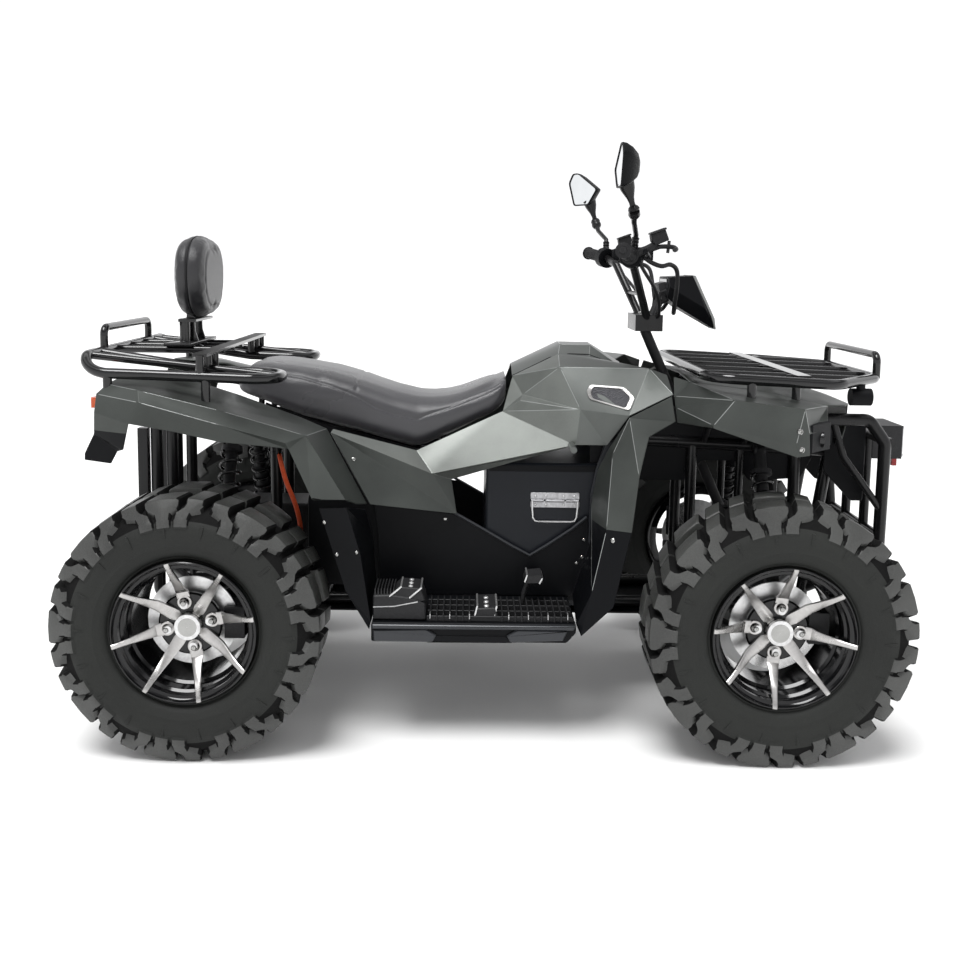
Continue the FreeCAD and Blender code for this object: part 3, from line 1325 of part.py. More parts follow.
post_foot_x = pad_x - size("post_radius")
post_foot_z = rear_z + rung_r + size("panel_gap") + size("cross_bar_thickness")
bracket_posts = [
    cylinder(Vector(post_foot_x, s * size("post_half"), post_foot_z),
        Vector(post_foot_x, s * size("post_half"), size("pad_bottom") - size("panel_gap")),
        size("post_radius"))
    for _, s in SIDES]
foot_plate = box(
    Vector(post_foot_x - size("pad_depth") / 2, -size("pad_width") / 2,
        post_foot_z - size("cross_bar_thickness")),
    Vector(post_foot_x + size("pad_depth") / 2, size("pad_width") / 2, post_foot_z))
back_plate = box(
    Vector(pad_x - size("pad_depth") / 3, -size("pad_width") / 3,
        size("pad_bottom") - size("panel_gap") - size("cross_bar_thickness")),
    Vector(pad_x + size("pad_depth") / 3, size("pad_width") / 3, size("pad_bottom") - size("panel_gap")))
solid_feature("backrest_bracket", joined(bracket_posts + [foot_plate, back_plate]))

# Bumper, winch and hook
bx, bh, br = size("bumper_x"), size("bumper_half"), size("bumper_radius")
top_z, bottom_z = size("bumper_top"), size("bumper_bottom")
loop = tube([
    Vector(nose_post_x + rail, rail_y, rail_z + rail * 3), Vector(bx, bh * 0.8, bottom_z),
    Vector(bx - br, bh, top_z - bend),
    Vector(bx - bend, bh, top_z), Vector(size("bumper_rear"), bh, top_z)], br, bend / 2)
thin = br * 0.8
brace_bar = tube([
    Vector(size("brace_top_x"), bh, top_z), Vector(size("brace_knee_x"), bh, size("brace_knee_z")),
    Vector(bx - br / 2, bh * 0.9, size("brace_foot_z"))], br * 0.6, bend / 2)
bars = [cylinder(Vector(bx, -bh * w, z), Vector(bx, bh * w, z), thin)
    for z, w in ((top_z - bend, 1), (bottom_z + bend, 0.85))]
bars += both(cylinder(Vector(bx, bh * 0.3, bottom_z + bend), Vector(bx, bh * 0.3, top_z - bend), thin))
frame_like = joined(both(lower_rail) + both(upper_rail) + crosses)
solid_feature("front_bumper", joined(both(loop) + both(brace_bar) + bars).cut(frame_like))

winch_x = bx - thin - size("panel_gap")
winch_z = size("fairlead_base") + size("fairlead_height") / 8
winch_r, winch_half = size("winch_radius"), size("winch_length") / 2
drum = joined([
    cylinder(Vector(winch_x - winch_r, -winch_half, winch_z),
        Vector(winch_x - winch_r, winch_half, winch_z), winch_r),
    box(Vector(winch_x - winch_r, -winch_half, winch_z - winch_r * 0.6),
        Vector(winch_x, winch_half, winch_z + winch_r * 0.6))])
fair_x, fair_h, fair_w, fair_d = size("fairlead_x"), size("fairlead_height"), size("fairlead_width"), size(
    "fairlead_depth")
fair_low = size("fairlead_base")
fairlead = box(Vector(bx + thin + size("panel_gap"), -fair_w / 2, fair_low),
    Vector(fair_x + fair_d / 2, fair_w / 2, fair_low + fair_h))
fairlead = fairlead.cut(box(
    Vector(bx, -fair_w / 3, fair_low + fair_h / 4), Vector(fair_x + fair_d, fair_w / 3,
        fair_low + fair_h * 0.75)))
solid_feature("winch", Part.makeCompound([drum, fairlead]))
hook_low = Vector(fair_x + fair_d / 2 + size("panel_gap"), -size("hook_thickness") / 2,
    fair_low - size("hook_height") / 2)
solid_feature("tow_hook", box(hook_low, hook_low + Vector(size("hook_thickness"), size("hook_thickness"),
    size("hook_height") * 1.4)))

# Lamps
lamp_far = size("lamp_start") + size("lamp_length")
lamp_low, lamp_mid = size("lamp_base"), size("lamp_inner_half") + size("lens_radius") * 1.4
lamp_points = [
    Vector(size("lamp_start"), size("lamp_inner_half"), lamp_low),
    Vector(lamp_far, size("lamp_inner_half"), lamp_low),
    Vector(lamp_far, lamp_mid + size("lens_radius") * 1.4, lamp_low),
    Vector(size("lamp_start") + size("lamp_length") / 3, size("lamp_outer_half"), lamp_low),
    Vector(size("lamp_start"), size("lamp_outer_half"), lamp_low)]
lamp_heart = Vector(lamp_far - size("lens_radius"), size("lamp_inner_half"), lamp_low)
lamp_body = trimmed(prism(lamp_points, UP * size("lamp_height")), front_fender, lamp_heart)
lens_at = Vector(lamp_far, lamp_mid, lamp_low + size("lens_radius") * 1.2)
lens = cylinder(lens_at - FORWARD * size("lens_depth"), lens_at + FORWARD * size("lens_depth"),
    size("lens_radius"))
solid_feature("headlamps", Part.makeCompound(both(joined([lamp_body, lens]))))
marker_share = (size("marker_x") - front_bend) / (front_stop - front_bend)
marker_y = front_half + (tip_half - front_half) * marker_share
marker_low = Vector(size("marker_x"), marker_y, size("marker_z"))
marker_half = FORWARD * size("marker_depth") / 2
marker = cylinder(marker_low - marker_half, marker_low + marker_half, size("marker_radius"))
marker_stem = trimmed(
    cylinder(marker_low, marker_low + UP * size("rack_leg_length"), size("marker_radius") / 2), front_rack,
    marker_low)
solid_feature("marker_lamps", Part.makeCompound(both(joined([marker, marker_stem]))))
tail_x = size("rear_fender_start") - size("tail_lamp_depth")
tail_z = size("rear_fender_base") + size("rear_fender_height") * 0.8
tail_y = size("fender_half") * 0.6
tail = box(
    Vector(tail_x, tail_y, tail_z),
    Vector(tail_x + size("tail_lamp_depth") * 1.5, tail_y + size("tail_lamp_width"),
        tail_z + size("tail_lamp_height")))
tail = trimmed(tail, rear_fender, Vector(tail_x, tail_y + size("tail_lamp_width") / 2, tail_z))
solid_feature("tail_lamps", Part.makeCompound(both(tail)))

# Hitch
hx, hh, hw = size("hitch_post_x"), size("hitch_post_half"), size("hitch_post_width")
hz = size("hitch_height")
post = box(Vector(hx - hw / 2, hh - hw / 2, hz), Vector(hx + hw / 2, hh + hw / 2, deck * 0.91))
shelf = box(Vector(hx - hw / 2, -hh - hw / 2, hz), Vector(rear_post_x - rail - size("panel_gap"),
    hh + hw / 2, hz + size("hitch_plate")))
tongue = box(
    Vector(hx - hw / 2 - size("hitch_tongue_length"), -size("hitch_tongue_width") / 2, hz),
    Vector(hx, size("hitch_tongue_width") / 2, hz + size("hitch_plate")))
hole_at = Vector(hx - hw / 2 - size("hitch_tongue_length") + size("hitch_tongue_width") / 2, 0, hz)
hitch_hole = cylinder(hole_at - UP * hw, hole_at + UP * hw, size("hitch_hole_radius"))
solid_feature("tow_hitch", joined(both(post) + [shelf, tongue]).cut(hitch_hole))

# Finish: every object sound, the origin under the middle of the footprint, one file per sub-part
document.recompute()
for item in document.Objects:
    if "Invalid" in item.State or "Error" in item.State:
        raise ValueError(item.Label + " failed")
whole_box = FreeCAD.BoundBox()
for item in subparts:
    whole_box.add(item.Shape.optimalBoundingBox(False, False))
centre = Vector(whole_box.Center.x, whole_box.Center.y, whole_box.ZMin)
os.makedirs("parts", exist_ok=True)
for item in subparts:
    if item.Shape.isNull() or not item.Shape.isValid():
        raise ValueError(item.Label + " is not a sound solid")
    item.Placement.Base = item.Placement.Base - centre
    document.recompute()
    item.Shape.exportStep("parts/" + item.Label + ".step")
print("origin", centre, "box", whole_box, "parts", len(subparts))
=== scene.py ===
import math

import bmesh
import bpy
import numpy as np
from mathutils import Matrix, Vector
from mathutils.bvhtree import BVHTree


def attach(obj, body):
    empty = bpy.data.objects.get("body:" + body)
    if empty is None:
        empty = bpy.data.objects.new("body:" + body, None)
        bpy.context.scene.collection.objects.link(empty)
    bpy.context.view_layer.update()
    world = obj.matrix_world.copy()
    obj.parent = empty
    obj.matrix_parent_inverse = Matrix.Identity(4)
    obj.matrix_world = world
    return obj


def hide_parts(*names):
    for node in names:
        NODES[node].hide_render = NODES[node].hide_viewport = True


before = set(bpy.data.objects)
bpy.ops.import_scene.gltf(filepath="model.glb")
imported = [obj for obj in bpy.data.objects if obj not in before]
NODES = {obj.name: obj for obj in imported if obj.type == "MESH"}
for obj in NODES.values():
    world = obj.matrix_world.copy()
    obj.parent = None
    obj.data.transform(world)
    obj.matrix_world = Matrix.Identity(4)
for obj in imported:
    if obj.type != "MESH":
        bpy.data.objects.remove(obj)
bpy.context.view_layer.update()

# The part's source is drawn in millimetres from the rear axle; this is where the frame's origin lies in it
ORIGIN_X = 768.9


def frame_x(x):
    return (x - ORIGIN_X) / 1000


def at(x, y, z):
    return Vector((frame_x(x), y / 1000, z / 1000))


def route(sign, *points):
    """Places on one side of the machine: sign is 1 for the left and -1 for the right."""
    return [at(x, sign * y, z) for x, y, z in points]


def turns(steps):
    return [math.tau * k / steps for k in range(steps)]


def circle(side, other, steps):
    """The directions round a line, from two that cross it."""
    return [side * math.cos(a) + other * math.sin(a) for a in turns(steps)]


def spun(centre, along, radius, angle):
    """A place round a wheel's axis, in millimetres from the wheel's centre."""
    return centre + Vector((radius * math.cos(angle), along, radius * math.sin(angle))) / 1000


def linked(name, data):
    item = bpy.data.objects.new(name, data)
    bpy.context.scene.collection.objects.link(item)
    return item


def modifier(item, kind, **values):
    added = item.modifiers.new(kind.lower(), kind)
    for key, value in values.items():
        setattr(added, key, value)
    return added


# Camera: level with the handlebar, tipped down a little, as in the photograph; picture sizes are in pixels
PICTURE, FOCAL, MIDDLE_X, MIDDLE_Y, SENSOR = 970, 1117.96, 474.04, 400.0, 36
EYE, PITCH, PAN, ROLL = at(650.8, -3084.1, 1179.05), 0.12241, 0.00682, 0.01311


def camera():
    data = bpy.data.cameras.new("camera")
    item = linked("camera", data)
    ahead = Vector((math.sin(PAN) * math.cos(PITCH), math.cos(PAN) * math.cos(PITCH), -math.sin(PITCH)))
    right = Vector((math.cos(PAN), -math.sin(PAN), 0))
    up = right.cross(ahead)
    tilted_right = right * math.cos(ROLL) + up * math.sin(ROLL)
    tilted_up = up * math.cos(ROLL) - right * math.sin(ROLL)
    turn = Matrix((tilted_right, tilted_up, -ahead)).transposed().to_4x4()
    item.matrix_world = Matrix.Translation(EYE) @ turn
    data.sensor_fit = "HORIZONTAL"
    data.sensor_width = SENSOR
    data.lens = FOCAL / PICTURE * SENSOR
    data.shift_x = (PICTURE / 2 - MIDDLE_X) / PICTURE
    data.shift_y = (MIDDLE_Y - PICTURE / 2) / PICTURE
    data.clip_start, data.clip_end = 0.05, 100
    bpy.context.scene.camera = item


# Mesh helpers
def piece(name, verts, faces, look):
    mesh = bpy.data.meshes.new(name)
    mesh.from_pydata([tuple(v) for v in verts], [], faces)
    mesh.validate()
    mesh.polygons.foreach_set("use_smooth", [True] * len(mesh.polygons))
    mesh.materials.append(look)
    return linked(name, mesh)


def bevelled(item, width, degrees):
    return modifier(item, "BEVEL", width=width, segments=2, limit_method="ANGLE",
                    angle_limit=math.radians(degrees), harden_normals=False)


class Build:
    """Collects several forms into one mesh."""

    def __init__(self):
        self.verts, self.faces = [], []

    def add(self, verts, faces):
        start = len(self.verts)
        self.verts += [Vector(v) for v in verts]
        self.faces += [tuple(i + start for i in face) for face in faces]

    def rings(self, rings, first=True, last=True, looped=False):
        """A skin over equal rings of points, closed at the first and last ring, or looped to its start."""
        wide, tall = len(rings[0]), len(rings)
        faces = []
        for j in range(tall if looped else tall - 1):
            here, there = j * wide, (j + 1) % tall * wide
            for i in range(wide):
                n = (i + 1) % wide
                faces.append((here + i, here + n, there + n, there + i))
        if first and not looped:
            faces.append(tuple(range(wide)))
        if last and not looped:
            faces.append(tuple(reversed(range((tall - 1) * wide, tall * wide))))
        self.add([place for ring in rings for place in ring], faces)

    def lathe(self, section, steps, centre, side=1):
        """Turns pairs of depth and radius, in millimetres, about a wheel's axis; side is its face's way."""
        self.rings([[spun(centre, side * along, radius, a) for along, radius in section]
                    for a in turns(steps)], looped=True)

    def prism(self, outline, run):
        """A flat outline carried along run, closed at both ends."""
        self.rings([outline, [place + run for place in outline]])

    def tube(self, points, radius, steps=12, closed=False):
        """A round bar through a list of points, of one radius or a radius for each point."""
        radii = radius if isinstance(radius, list) else [radius] * len(points)
        rings, side = [], None
        for i, place in enumerate(points):
            before = points[i - 1] if i or closed else place
            after = points[(i + 1) % len(points)] if i + 1 < len(points) or closed else place
            ahead = (after - before).normalized()
            if side is None:
                side = ahead.orthogonal().normalized()
            side = (side - ahead * side.dot(ahead)).normalized()
            rings.append([place + way * radii[i] for way in circle(side, ahead.cross(side), steps)])
        self.rings(rings, looped=closed)

    def done(self, name, look, crisp):
        """One object with its faces outward and smooth, and its edges above crisp degrees kept sharp."""
        item = piece(name, self.verts, self.faces, look)
        work = bmesh.new()
        work.from_mesh(item.data)
        bmesh.ops.recalc_face_normals(work, faces=work.faces)
        for edge in work.edges:
            edge.smooth = len(edge.link_faces) != 2 or edge.calc_face_angle(0) < math.radians(crisp)
        work.to_mesh(item.data)
        work.free()
        return item


# Materials: every one is a shader with its own grain and bump, and some with edge wear on convex edges that
# is also painted highlight
def fill(tree, item, inputs):
    """Gives each input a value or, where a socket is given, a link."""
    for key, value in inputs.items():
        if isinstance(value, bpy.types.NodeSocket):
            tree.links.new(value, item.inputs[key])
        else:
            item.inputs[key].default_value = value


def node(tree, kind, inputs=None, **settings):
    added = tree.nodes.new("ShaderNode" + kind)
    for key, value in settings.items():
        setattr(added, key, value)
    fill(tree, added, inputs or {})
    return added


def material(
        name, colour, rough, metal=0.0, grain=(400.0, 0.06), bump=(600.0, 0.05), coat=0.0, wear_and_edge_light=0.0,
        shift=0.35, spec=0.25, sheen=0.0, stretch=(1, 1, 1)):
    """Grain is scale and depth of tone, bump is scale and strength, and shift is how far the gloss varies."""
    look = bpy.data.materials.new(name)
    look.use_nodes = True
    tree = look.node_tree
    place = node(tree, "TexCoord").outputs["Object"]
    place = node(tree, "Mapping", {"Vector": place, "Scale": stretch}).outputs["Vector"]
    fine = node(tree, "TexNoise", {"Vector": place, "Scale": grain[0], "Detail": 6}).outputs["Fac"]
    broad = node(tree, "TexNoise", {"Vector": place, "Scale": 5.0, "Detail": 4}).outputs["Fac"]
    both = node(tree, "Mix", {"Factor": 0.5, "A": fine, "B": broad}).outputs["Result"]
    ramp = node(tree, "ValToRGB", {"Fac": both})
    dark = [c * (1 - grain[1] * 2) for c in colour]
    light = [min(1.0, c * (1 + grain[1] * 2) + grain[1] * 0.01) for c in colour]
    for point, share, tone in zip(ramp.color_ramp.elements, (0.36, 0.64), (dark, light)):
        point.position, point.color = share, (*tone, 1)
    tone = ramp.outputs["Color"]
    # Lighter tone on convex edges: real edge wear, and painted highlight where the edges catch light
    if wear_and_edge_light:
        edge = node(tree, "NewGeometry").outputs["Pointiness"]
        edge = node(tree, "MapRange", {"Value": edge, "From Min": 0.52, "From Max": 0.62, "To Max": wear_and_edge_light})
        worn_and_lit = (*[min(1, c * 2.2 + 0.03) for c in colour], 1)
        mix = {"Factor": edge.outputs["Result"], "A": tone, "B": worn_and_lit}
        tone = node(tree, "Mix", mix, data_type="RGBA").outputs["Result"]
    gloss = node(tree, "MapRange", {
        "Value": broad, "From Min": 0.3, "From Max": 0.7, "To Min": rough * (1 - shift * 0.5),
        "To Max": min(1.0, rough * (1 + shift * 0.5))})
    relief = node(tree, "TexNoise", {"Vector": place, "Scale": bump[0], "Detail": 3}).outputs["Fac"]
    raised = node(tree, "Bump", {"Height": relief, "Strength": bump[1], "Distance": 0.001})
    fill(tree, tree.nodes["Principled BSDF"], {
        "Base Color": tone, "Roughness": gloss.outputs["Result"], "Normal": raised.outputs["Normal"],
        "Metallic": metal, "Coat Weight": coat, "Coat Roughness": 0.08, "Specular IOR Level": spec,
        "Sheen Weight": sheen})
    return look


def grained(name, colour, rough, scale, depth, sheen=0.0, spec=0.25, grain=0.08):
    """Vinyl or moulded grain: cells of a Voronoi as small pebbles."""
    look = material(name, colour, rough, grain=(scale, grain), bump=(scale, depth), sheen=sheen, spec=spec)
    tree = look.node_tree
    place = tree.nodes["Mapping"].outputs["Vector"]
    cells = node(tree, "TexVoronoi", {"Scale": scale, "Vector": place})
    fill(tree, tree.nodes["Bump"], {"Height": cells.outputs["Distance"]})
    return look


def below(look, *limits):
    """Turns the part of a painted material that lies below every limit, an axis and metres, to bare black."""
    tree = look.node_tree
    shader = tree.nodes["Principled BSDF"]
    place = node(tree, "TexCoord").outputs["Object"]
    parts = node(tree, "SeparateXYZ", {"Vector": place})
    share = None
    for axis, limit in limits:
        less = node(tree, "Math", {0: parts.outputs[axis], 1: limit}, operation="LESS_THAN").outputs[0]
        if share is None:
            share = less
        else:
            share = node(tree, "Math", {0: share, 1: less}, operation="MULTIPLY").outputs[0]
    mix = {"Factor": share, "A": shader.inputs["Base Color"].links[0].from_socket, "B": (*BLACK, 1)}
    fill(tree, shader, {"Base Color": node(tree, "Mix", mix, data_type="RGBA").outputs["Result"]})
    for socket, end in (("Metallic", 0.0), ("Specular IOR Level", 0.12), ("Coat Weight", 0.0)):
        start = shader.inputs[socket].default_value
        ease = node(tree, "Math", {0: share, 1: end - start, 2: start}, operation="MULTIPLY_ADD")
        fill(tree, shader, {socket: ease.outputs[0]})
    return look


def painted(name, colour, rough=0.38, spec=0.40, coat=0.06):
    return material(name, colour, rough, metal=0.45, grain=(2600, 0.2), bump=(1500, 0.03), wear_and_edge_light=0.15,
                    coat=coat, spec=spec)


BODY, BLACK = (0.045, 0.050, 0.046), (0.0028, 0.0031, 0.0040)
# The keys leave off the number that Blender adds where the loaded frame has a material of that name
MATERIALS = {look.name.split(".")[0]: look for look in (
    grained("rubber_tyre", (0.0125, 0.0135, 0.0122), 0.60, 700, 0.45, spec=0.28, grain=0.18),
    grained("rubber_soft", (0.010, 0.010, 0.011), 0.5, 1400, 0.25),
    material("rim_black", (0.003, 0.003, 0.0035), 0.14, coat=0.35, bump=(900, 0.02)),
    material("machined", (0.50, 0.49, 0.48), 0.30, metal=1.0, grain=(60, 0.05), bump=(1400, 0.10),
             stretch=(1, 8, 1)),
    material("chrome", (0.37, 0.37, 0.36), 0.16, metal=1.0, grain=(30, 0.05), bump=(60, 0.06)),
    material("disc", (0.66, 0.66, 0.66), 0.30, metal=0.85, grain=(90, 0.10), bump=(900, 0.08), shift=0.5),
    material("steel", (0.36, 0.36, 0.37), 0.33, metal=1.0, grain=(140, 0.14), bump=(900, 0.10)),
    material("cast", (0.013, 0.013, 0.014), 0.46, metal=0.2, grain=(300, 0.2), bump=(450, 0.35), wear_and_edge_light=0.3),
    # Lighter rubber on the block tops and darker in the grooves and on the block sides: painted light and
    # shade on the one rubber
    grained("rubber_block_lit", (0.031, 0.032, 0.030), 0.40, 500, 0.45, spec=0.62, grain=0.28),
    grained("rubber_groove_shaded", (0.0045, 0.0045, 0.0045), 0.70, 700, 0.45, spec=0.10, grain=0.2),
    painted("body", BODY),
    below(painted("body_leg", BODY), ("Z", 0.532)),
    below(painted("body_tail", BODY), ("Z", 0.768), ("X", -0.917)),
    painted("swoosh", (0.125, 0.134, 0.125), 0.34, 0.45, 0.10),
    # The tank's paint is a lighter copy of the body's: painted light for the bright light on the tank's sides
    painted("tank", (0.090, 0.097, 0.092), 0.36, 0.45, 0.10),
    # A pale paint for the lines along the panels' folds: painted highlight
    painted("crease_highlight", (0.24, 0.25, 0.245), 0.3, 0.5, 0.1),
    grained("vinyl_dark", (0.0150, 0.0148, 0.0170), 0.36, 1000, 0.28, sheen=0.10, spec=0.5, grain=0.10),
    material("strap", (0.012, 0.012, 0.012), 0.5, grain=(500, 0.15), bump=(600, 0.2), spec=0.2),
    grained("dark", BLACK, 0.42, 1100, 0.18, grain=0.12, spec=0.12),
    grained("panel", (0.0085, 0.0100, 0.0135), 0.36, 1500, 0.08, grain=0.12, spec=0.19),
    material("tube", (0.0055, 0.0055, 0.0060), 0.28, grain=(500, 0.12), bump=(700, 0.10), coat=0.1, wear_and_edge_light=0.2),
    material("rack", (0.0045, 0.0045, 0.0050), 0.17, grain=(500, 0.1), bump=(500, 0.05), coat=0.5),
    # The seat's vinyl is a lighter copy of vinyl_dark, the backrest's: painted highlight for the light on the
    # seat's top
    grained("vinyl", (0.0300, 0.0295, 0.0335), 0.30, 1000, 0.28, sheen=0.20, spec=0.60, grain=0.10),
    grained("mesh", (0.030, 0.030, 0.036), 0.45, 260, 0.9, spec=0.4, grain=0.2),
    material("glass", (0.030, 0.032, 0.034), 0.05, coat=1.0, grain=(60, 0.2), bump=(200, 0.05)),
    material("mirror", (0.80, 0.82, 0.83), 0.03, metal=1.0, grain=(20, 0.02), bump=(20, 0.01)),
    material("amber", (0.50, 0.07, 0.01), 0.18, coat=0.6, grain=(300, 0.1), bump=(260, 0.5)),
    material("red", (0.30, 0.010, 0.012), 0.3, coat=0.3, grain=(500, 0.15), bump=(700, 0.3)),
    material("orange", (0.55, 0.07, 0.02), 0.38, grain=(200, 0.1), bump=(500, 0.1)),
    material("satin", (0.030, 0.032, 0.036), 0.32, metal=0.3, grain=(900, 0.1), bump=(900, 0.06), spec=0.45),
    material("pale", (0.20, 0.205, 0.20), 0.35, metal=0.3, grain=(700, 0.06), bump=(900, 0.04), spec=0.4),
    material("thread", (0.035, 0.034, 0.038), 0.7, grain=(1500, 0.2), bump=(1800, 0.5), spec=0.3),
)}
# The look of each node that starts with one of these words
CAD_LOOKS = {
    "rubber_tyre": "tyre_", "rim_black": "rim_", "disc": "hub_",
    "cast": "knuckle_ rear_uprights drive_unit front_differential winch tie_rod_ half_shafts steering_column",
    "body": "front_fender_ nose_panel", "body_leg": "front_aprons", "body_tail": "rear_fender_",
    "tank": "tank_cover", "swoosh": "side_panels", "panel": "battery_box",
    "dark": "footboard_ passenger_steps rear_aprons skid_plate instrument_pod hand_controls side_cowls"
            " headlamps marker_lamps",
    "tube": "frame front_suspension_arms rear_suspension_arms tow_hitch front_bumper brake_pedal mirrors"
            " handlebar front_shocks rear_shocks",
    "rack": "front_rack rear_rack backrest_bracket", "rubber_soft": "grips", "vinyl": "seat backrest_pad",
    "amber": "tail_lamps", "red": "tow_hook"}
# Widths in millimetres of the small rounding along the edges of the nodes that start with these words
EDGE_WIDTHS = {
    1.6: "front_fender_ rear_fender_ nose_panel side_panels tank_cover", 1.4: "side_cowls", 1.2: "skid_plate",
    1.5: "front_aprons rear_aprons hand_controls backrest_bracket tow_hitch tail_lamps", 2.5: "winch",
    8.0: "drive_unit", 6.0: "front_differential", 2.0: "knuckle_ rear_uprights tow_hook",
    1.0: "handlebar steering_column"}


def matching(starts):
    return [name for name in NODES if name.startswith(tuple(starts.split()))]


def partly(names, look, test):
    """A second look on the faces of some nodes that pass a test."""
    for name in matching(names):
        mesh = NODES[name].data
        mesh.materials.append(MATERIALS[look])
        for polygon in mesh.polygons:
            if test(polygon):
                polygon.material_index = len(mesh.materials) - 1


def dress_frame():
    """Looks and rounded edges of the CAD pieces; the second looks are told by where a face lies."""
    for look, starts in CAD_LOOKS.items():
        for name in matching(starts):
            mesh = NODES[name].data
            mesh.materials.clear()
            mesh.materials.append(MATERIALS[look])
    partly("side_panels", "body", lambda p: p.center.x < frame_x(640) and p.center.z < 0.66)
    partly("side_panels", "body", lambda p: p.center.x > frame_x(1080))
    # The side panels by the tank, and the frame's stay end that shows there, take the tank's lighter tone of
    # painted light
    partly("side_panels", "tank", lambda p: frame_x(940) < p.center.x < frame_x(1080))
    partly("frame", "tank", lambda p: abs(p.center.y) > 0.236 and 0.69 < p.center.z < 0.80
           and frame_x(900) < p.center.x < frame_x(1030))
    partly("rear_rack backrest_bracket", "strap", lambda p: abs(p.normal.z) > 0.98 and p.area > 8e-5)
    partly("front_rack", "strap", lambda p: abs(p.normal.z) > 0.98 and p.center.x < frame_x(1350))
    for width, starts in EDGE_WIDTHS.items():
        for name in matching(starts):
            item = NODES[name]
            for polygon in item.data.polygons:
                polygon.use_smooth = True
            modifier(item, "WELD", merge_threshold=0.00002)
            bevelled(item, width / 1000, 14 if width < 2 else 30).use_clamp_overlap = width >= 2
            modifier(item, "WEIGHTED_NORMAL", weight=80)


# Floor and light: a white room in bands of light and shade, and one broad soft lamp above
FLOOR_HALF, ROOM_POWER, SUN_POWER, SUN_ANGLE, SUN_WAY = 60, 1.08, 2.9, 28, Vector((0.18, 0.34, -1.0))
BANDS = ((0.38, 1.0), (0.50, 0.30), (0.64, 0.22), (0.72, 1.05), (0.84, 1.05), (0.93, 0.35))


def stage():
    white = material("floor", (0.90, 0.90, 0.895), 0.6, grain=(3, 0.004), bump=(30, 0.01), spec=0.2)
    corners = [(x * FLOOR_HALF, y * FLOOR_HALF, 0) for x, y in ((-1, -1), (1, -1), (1, 1), (-1, 1))]
    piece("floor", corners, [(0, 1, 2, 3)], white)
    world = bpy.data.worlds.new("studio")
    bpy.context.scene.world = world
    world.use_nodes = True
    tree = world.node_tree
    parts = node(tree, "SeparateXYZ", {"Vector": node(tree, "TexCoord").outputs["Generated"]})
    ramp = node(tree, "ValToRGB", {"Fac": parts.outputs["Z"]})
    fill(tree, tree.nodes["Background"], {"Color": ramp.outputs["Color"], "Strength": ROOM_POWER})
    points = ramp.color_ramp.elements
    while len(points) < len(BANDS):
        points.new(0.5)
    for point, (height, glow) in zip(points, BANDS):
        point.position, point.color = height, (glow, glow, glow * 1.01, 1)
    data = bpy.data.lights.new("softbox", "SUN")
    data.energy, data.angle = SUN_POWER, math.radians(SUN_ANGLE)
    linked("softbox", data).rotation_euler = SUN_WAY.to_track_quat("-Z", "Y").to_euler()


def made(build, name, look, crisp=30, body="chassis", stands_for=""):
    """Turns a collected form into a piece with its look and body, and hides the nodes that it stands for."""
    item = build.done(name, MATERIALS[look], crisp)
    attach(item, body)
    if stands_for:
        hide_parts(*stands_for.split())
    return item


# Wheels: radii in millimetres; a tyre's places across are shares of its width
TYRE_R, TYRE_STEPS = 317.5, 108
CARCASS = (
    (0.335, 157), (0.345, 168), (0.372, 172), (0.398, 175), (0.402, 178), (0.412, 179.5), (0.436, 185),
    (0.458, 196), (0.470, 206), (0.4745, 208), (0.4755, 210.5), (0.473, 213), (0.482, 224), (0.488, 236),
    (0.486, 248), (0.474, 257), (0.455, 266), (0.432, 276), (0.408, 286), (0.385, 292.5), (0.35, 295.5),
    (0.24, 297.5), (0.12, 298.5), (0.0, 299))
# Shares of a group of three lugs, as in the part's source: its spans at the crown and at the foot
GROUPS, GROUP_START, GROUP_SLANT = 9, -0.455, 1 / 6
LUG_SPANS = (((-0.455, -0.265), (-0.30, -0.1375), 0.02), ((-0.181, 0.181), (-0.08, 0.08), 0.10),
             ((0.265, 0.455), (0.1375, 0.30), 0.02))
LUG_ROWS = (
    ((0.375, 317.3), (0.365, 292)), ((0.400, 315.5), (0.380, 289)), ((0.420, 305.5), (0.396, 284)),
    ((0.4345, 297.0), (0.406, 280.5)), ((0.4525, 286.5), (0.421, 275)), ((0.477, 271.5), (0.446, 266)),
    ((0.4955, 260.0), (0.470, 256)), ((0.4965, 254.5), (0.476, 252)), ((0.484, 248.5), (0.483, 247.5)))
LUG_COLUMNS = ((-1.0, 0.9, 0.0), (-1.0, 0.0, 0.86), (-0.86, 0.0, 1.0), (0.0, 0.0, 1.0), (0.86, 0.0, 1.0),
               (1.0, 0.0, 0.86), (1.0, -0.9, 0.0))
LUG_BASE_R, STEP_R, STEP_DEPTH, STEP_FROM, SLANT_UP_TO = 296, 300, 16, 0.39, 0.4
# Metres from the axis past which the carcass gets the dark tone of painted shade in the grooves, and the
# blocks get their own tones: painted light on their tops and painted shade on their sides
GROOVE_SHADE_FROM, BLOCK_LIGHT_FROM = 0.262, 0.256
RIB_PATH = ((0.478, 259, 0.9), (0.4935, 250, 1.0), (0.4945, 240, 0.8), (0.489, 228, 0.25))
RIB_ROUND = ((-1, 0.016), (-0.6, 0.0), (0.6, 0.0), (1, 0.016))
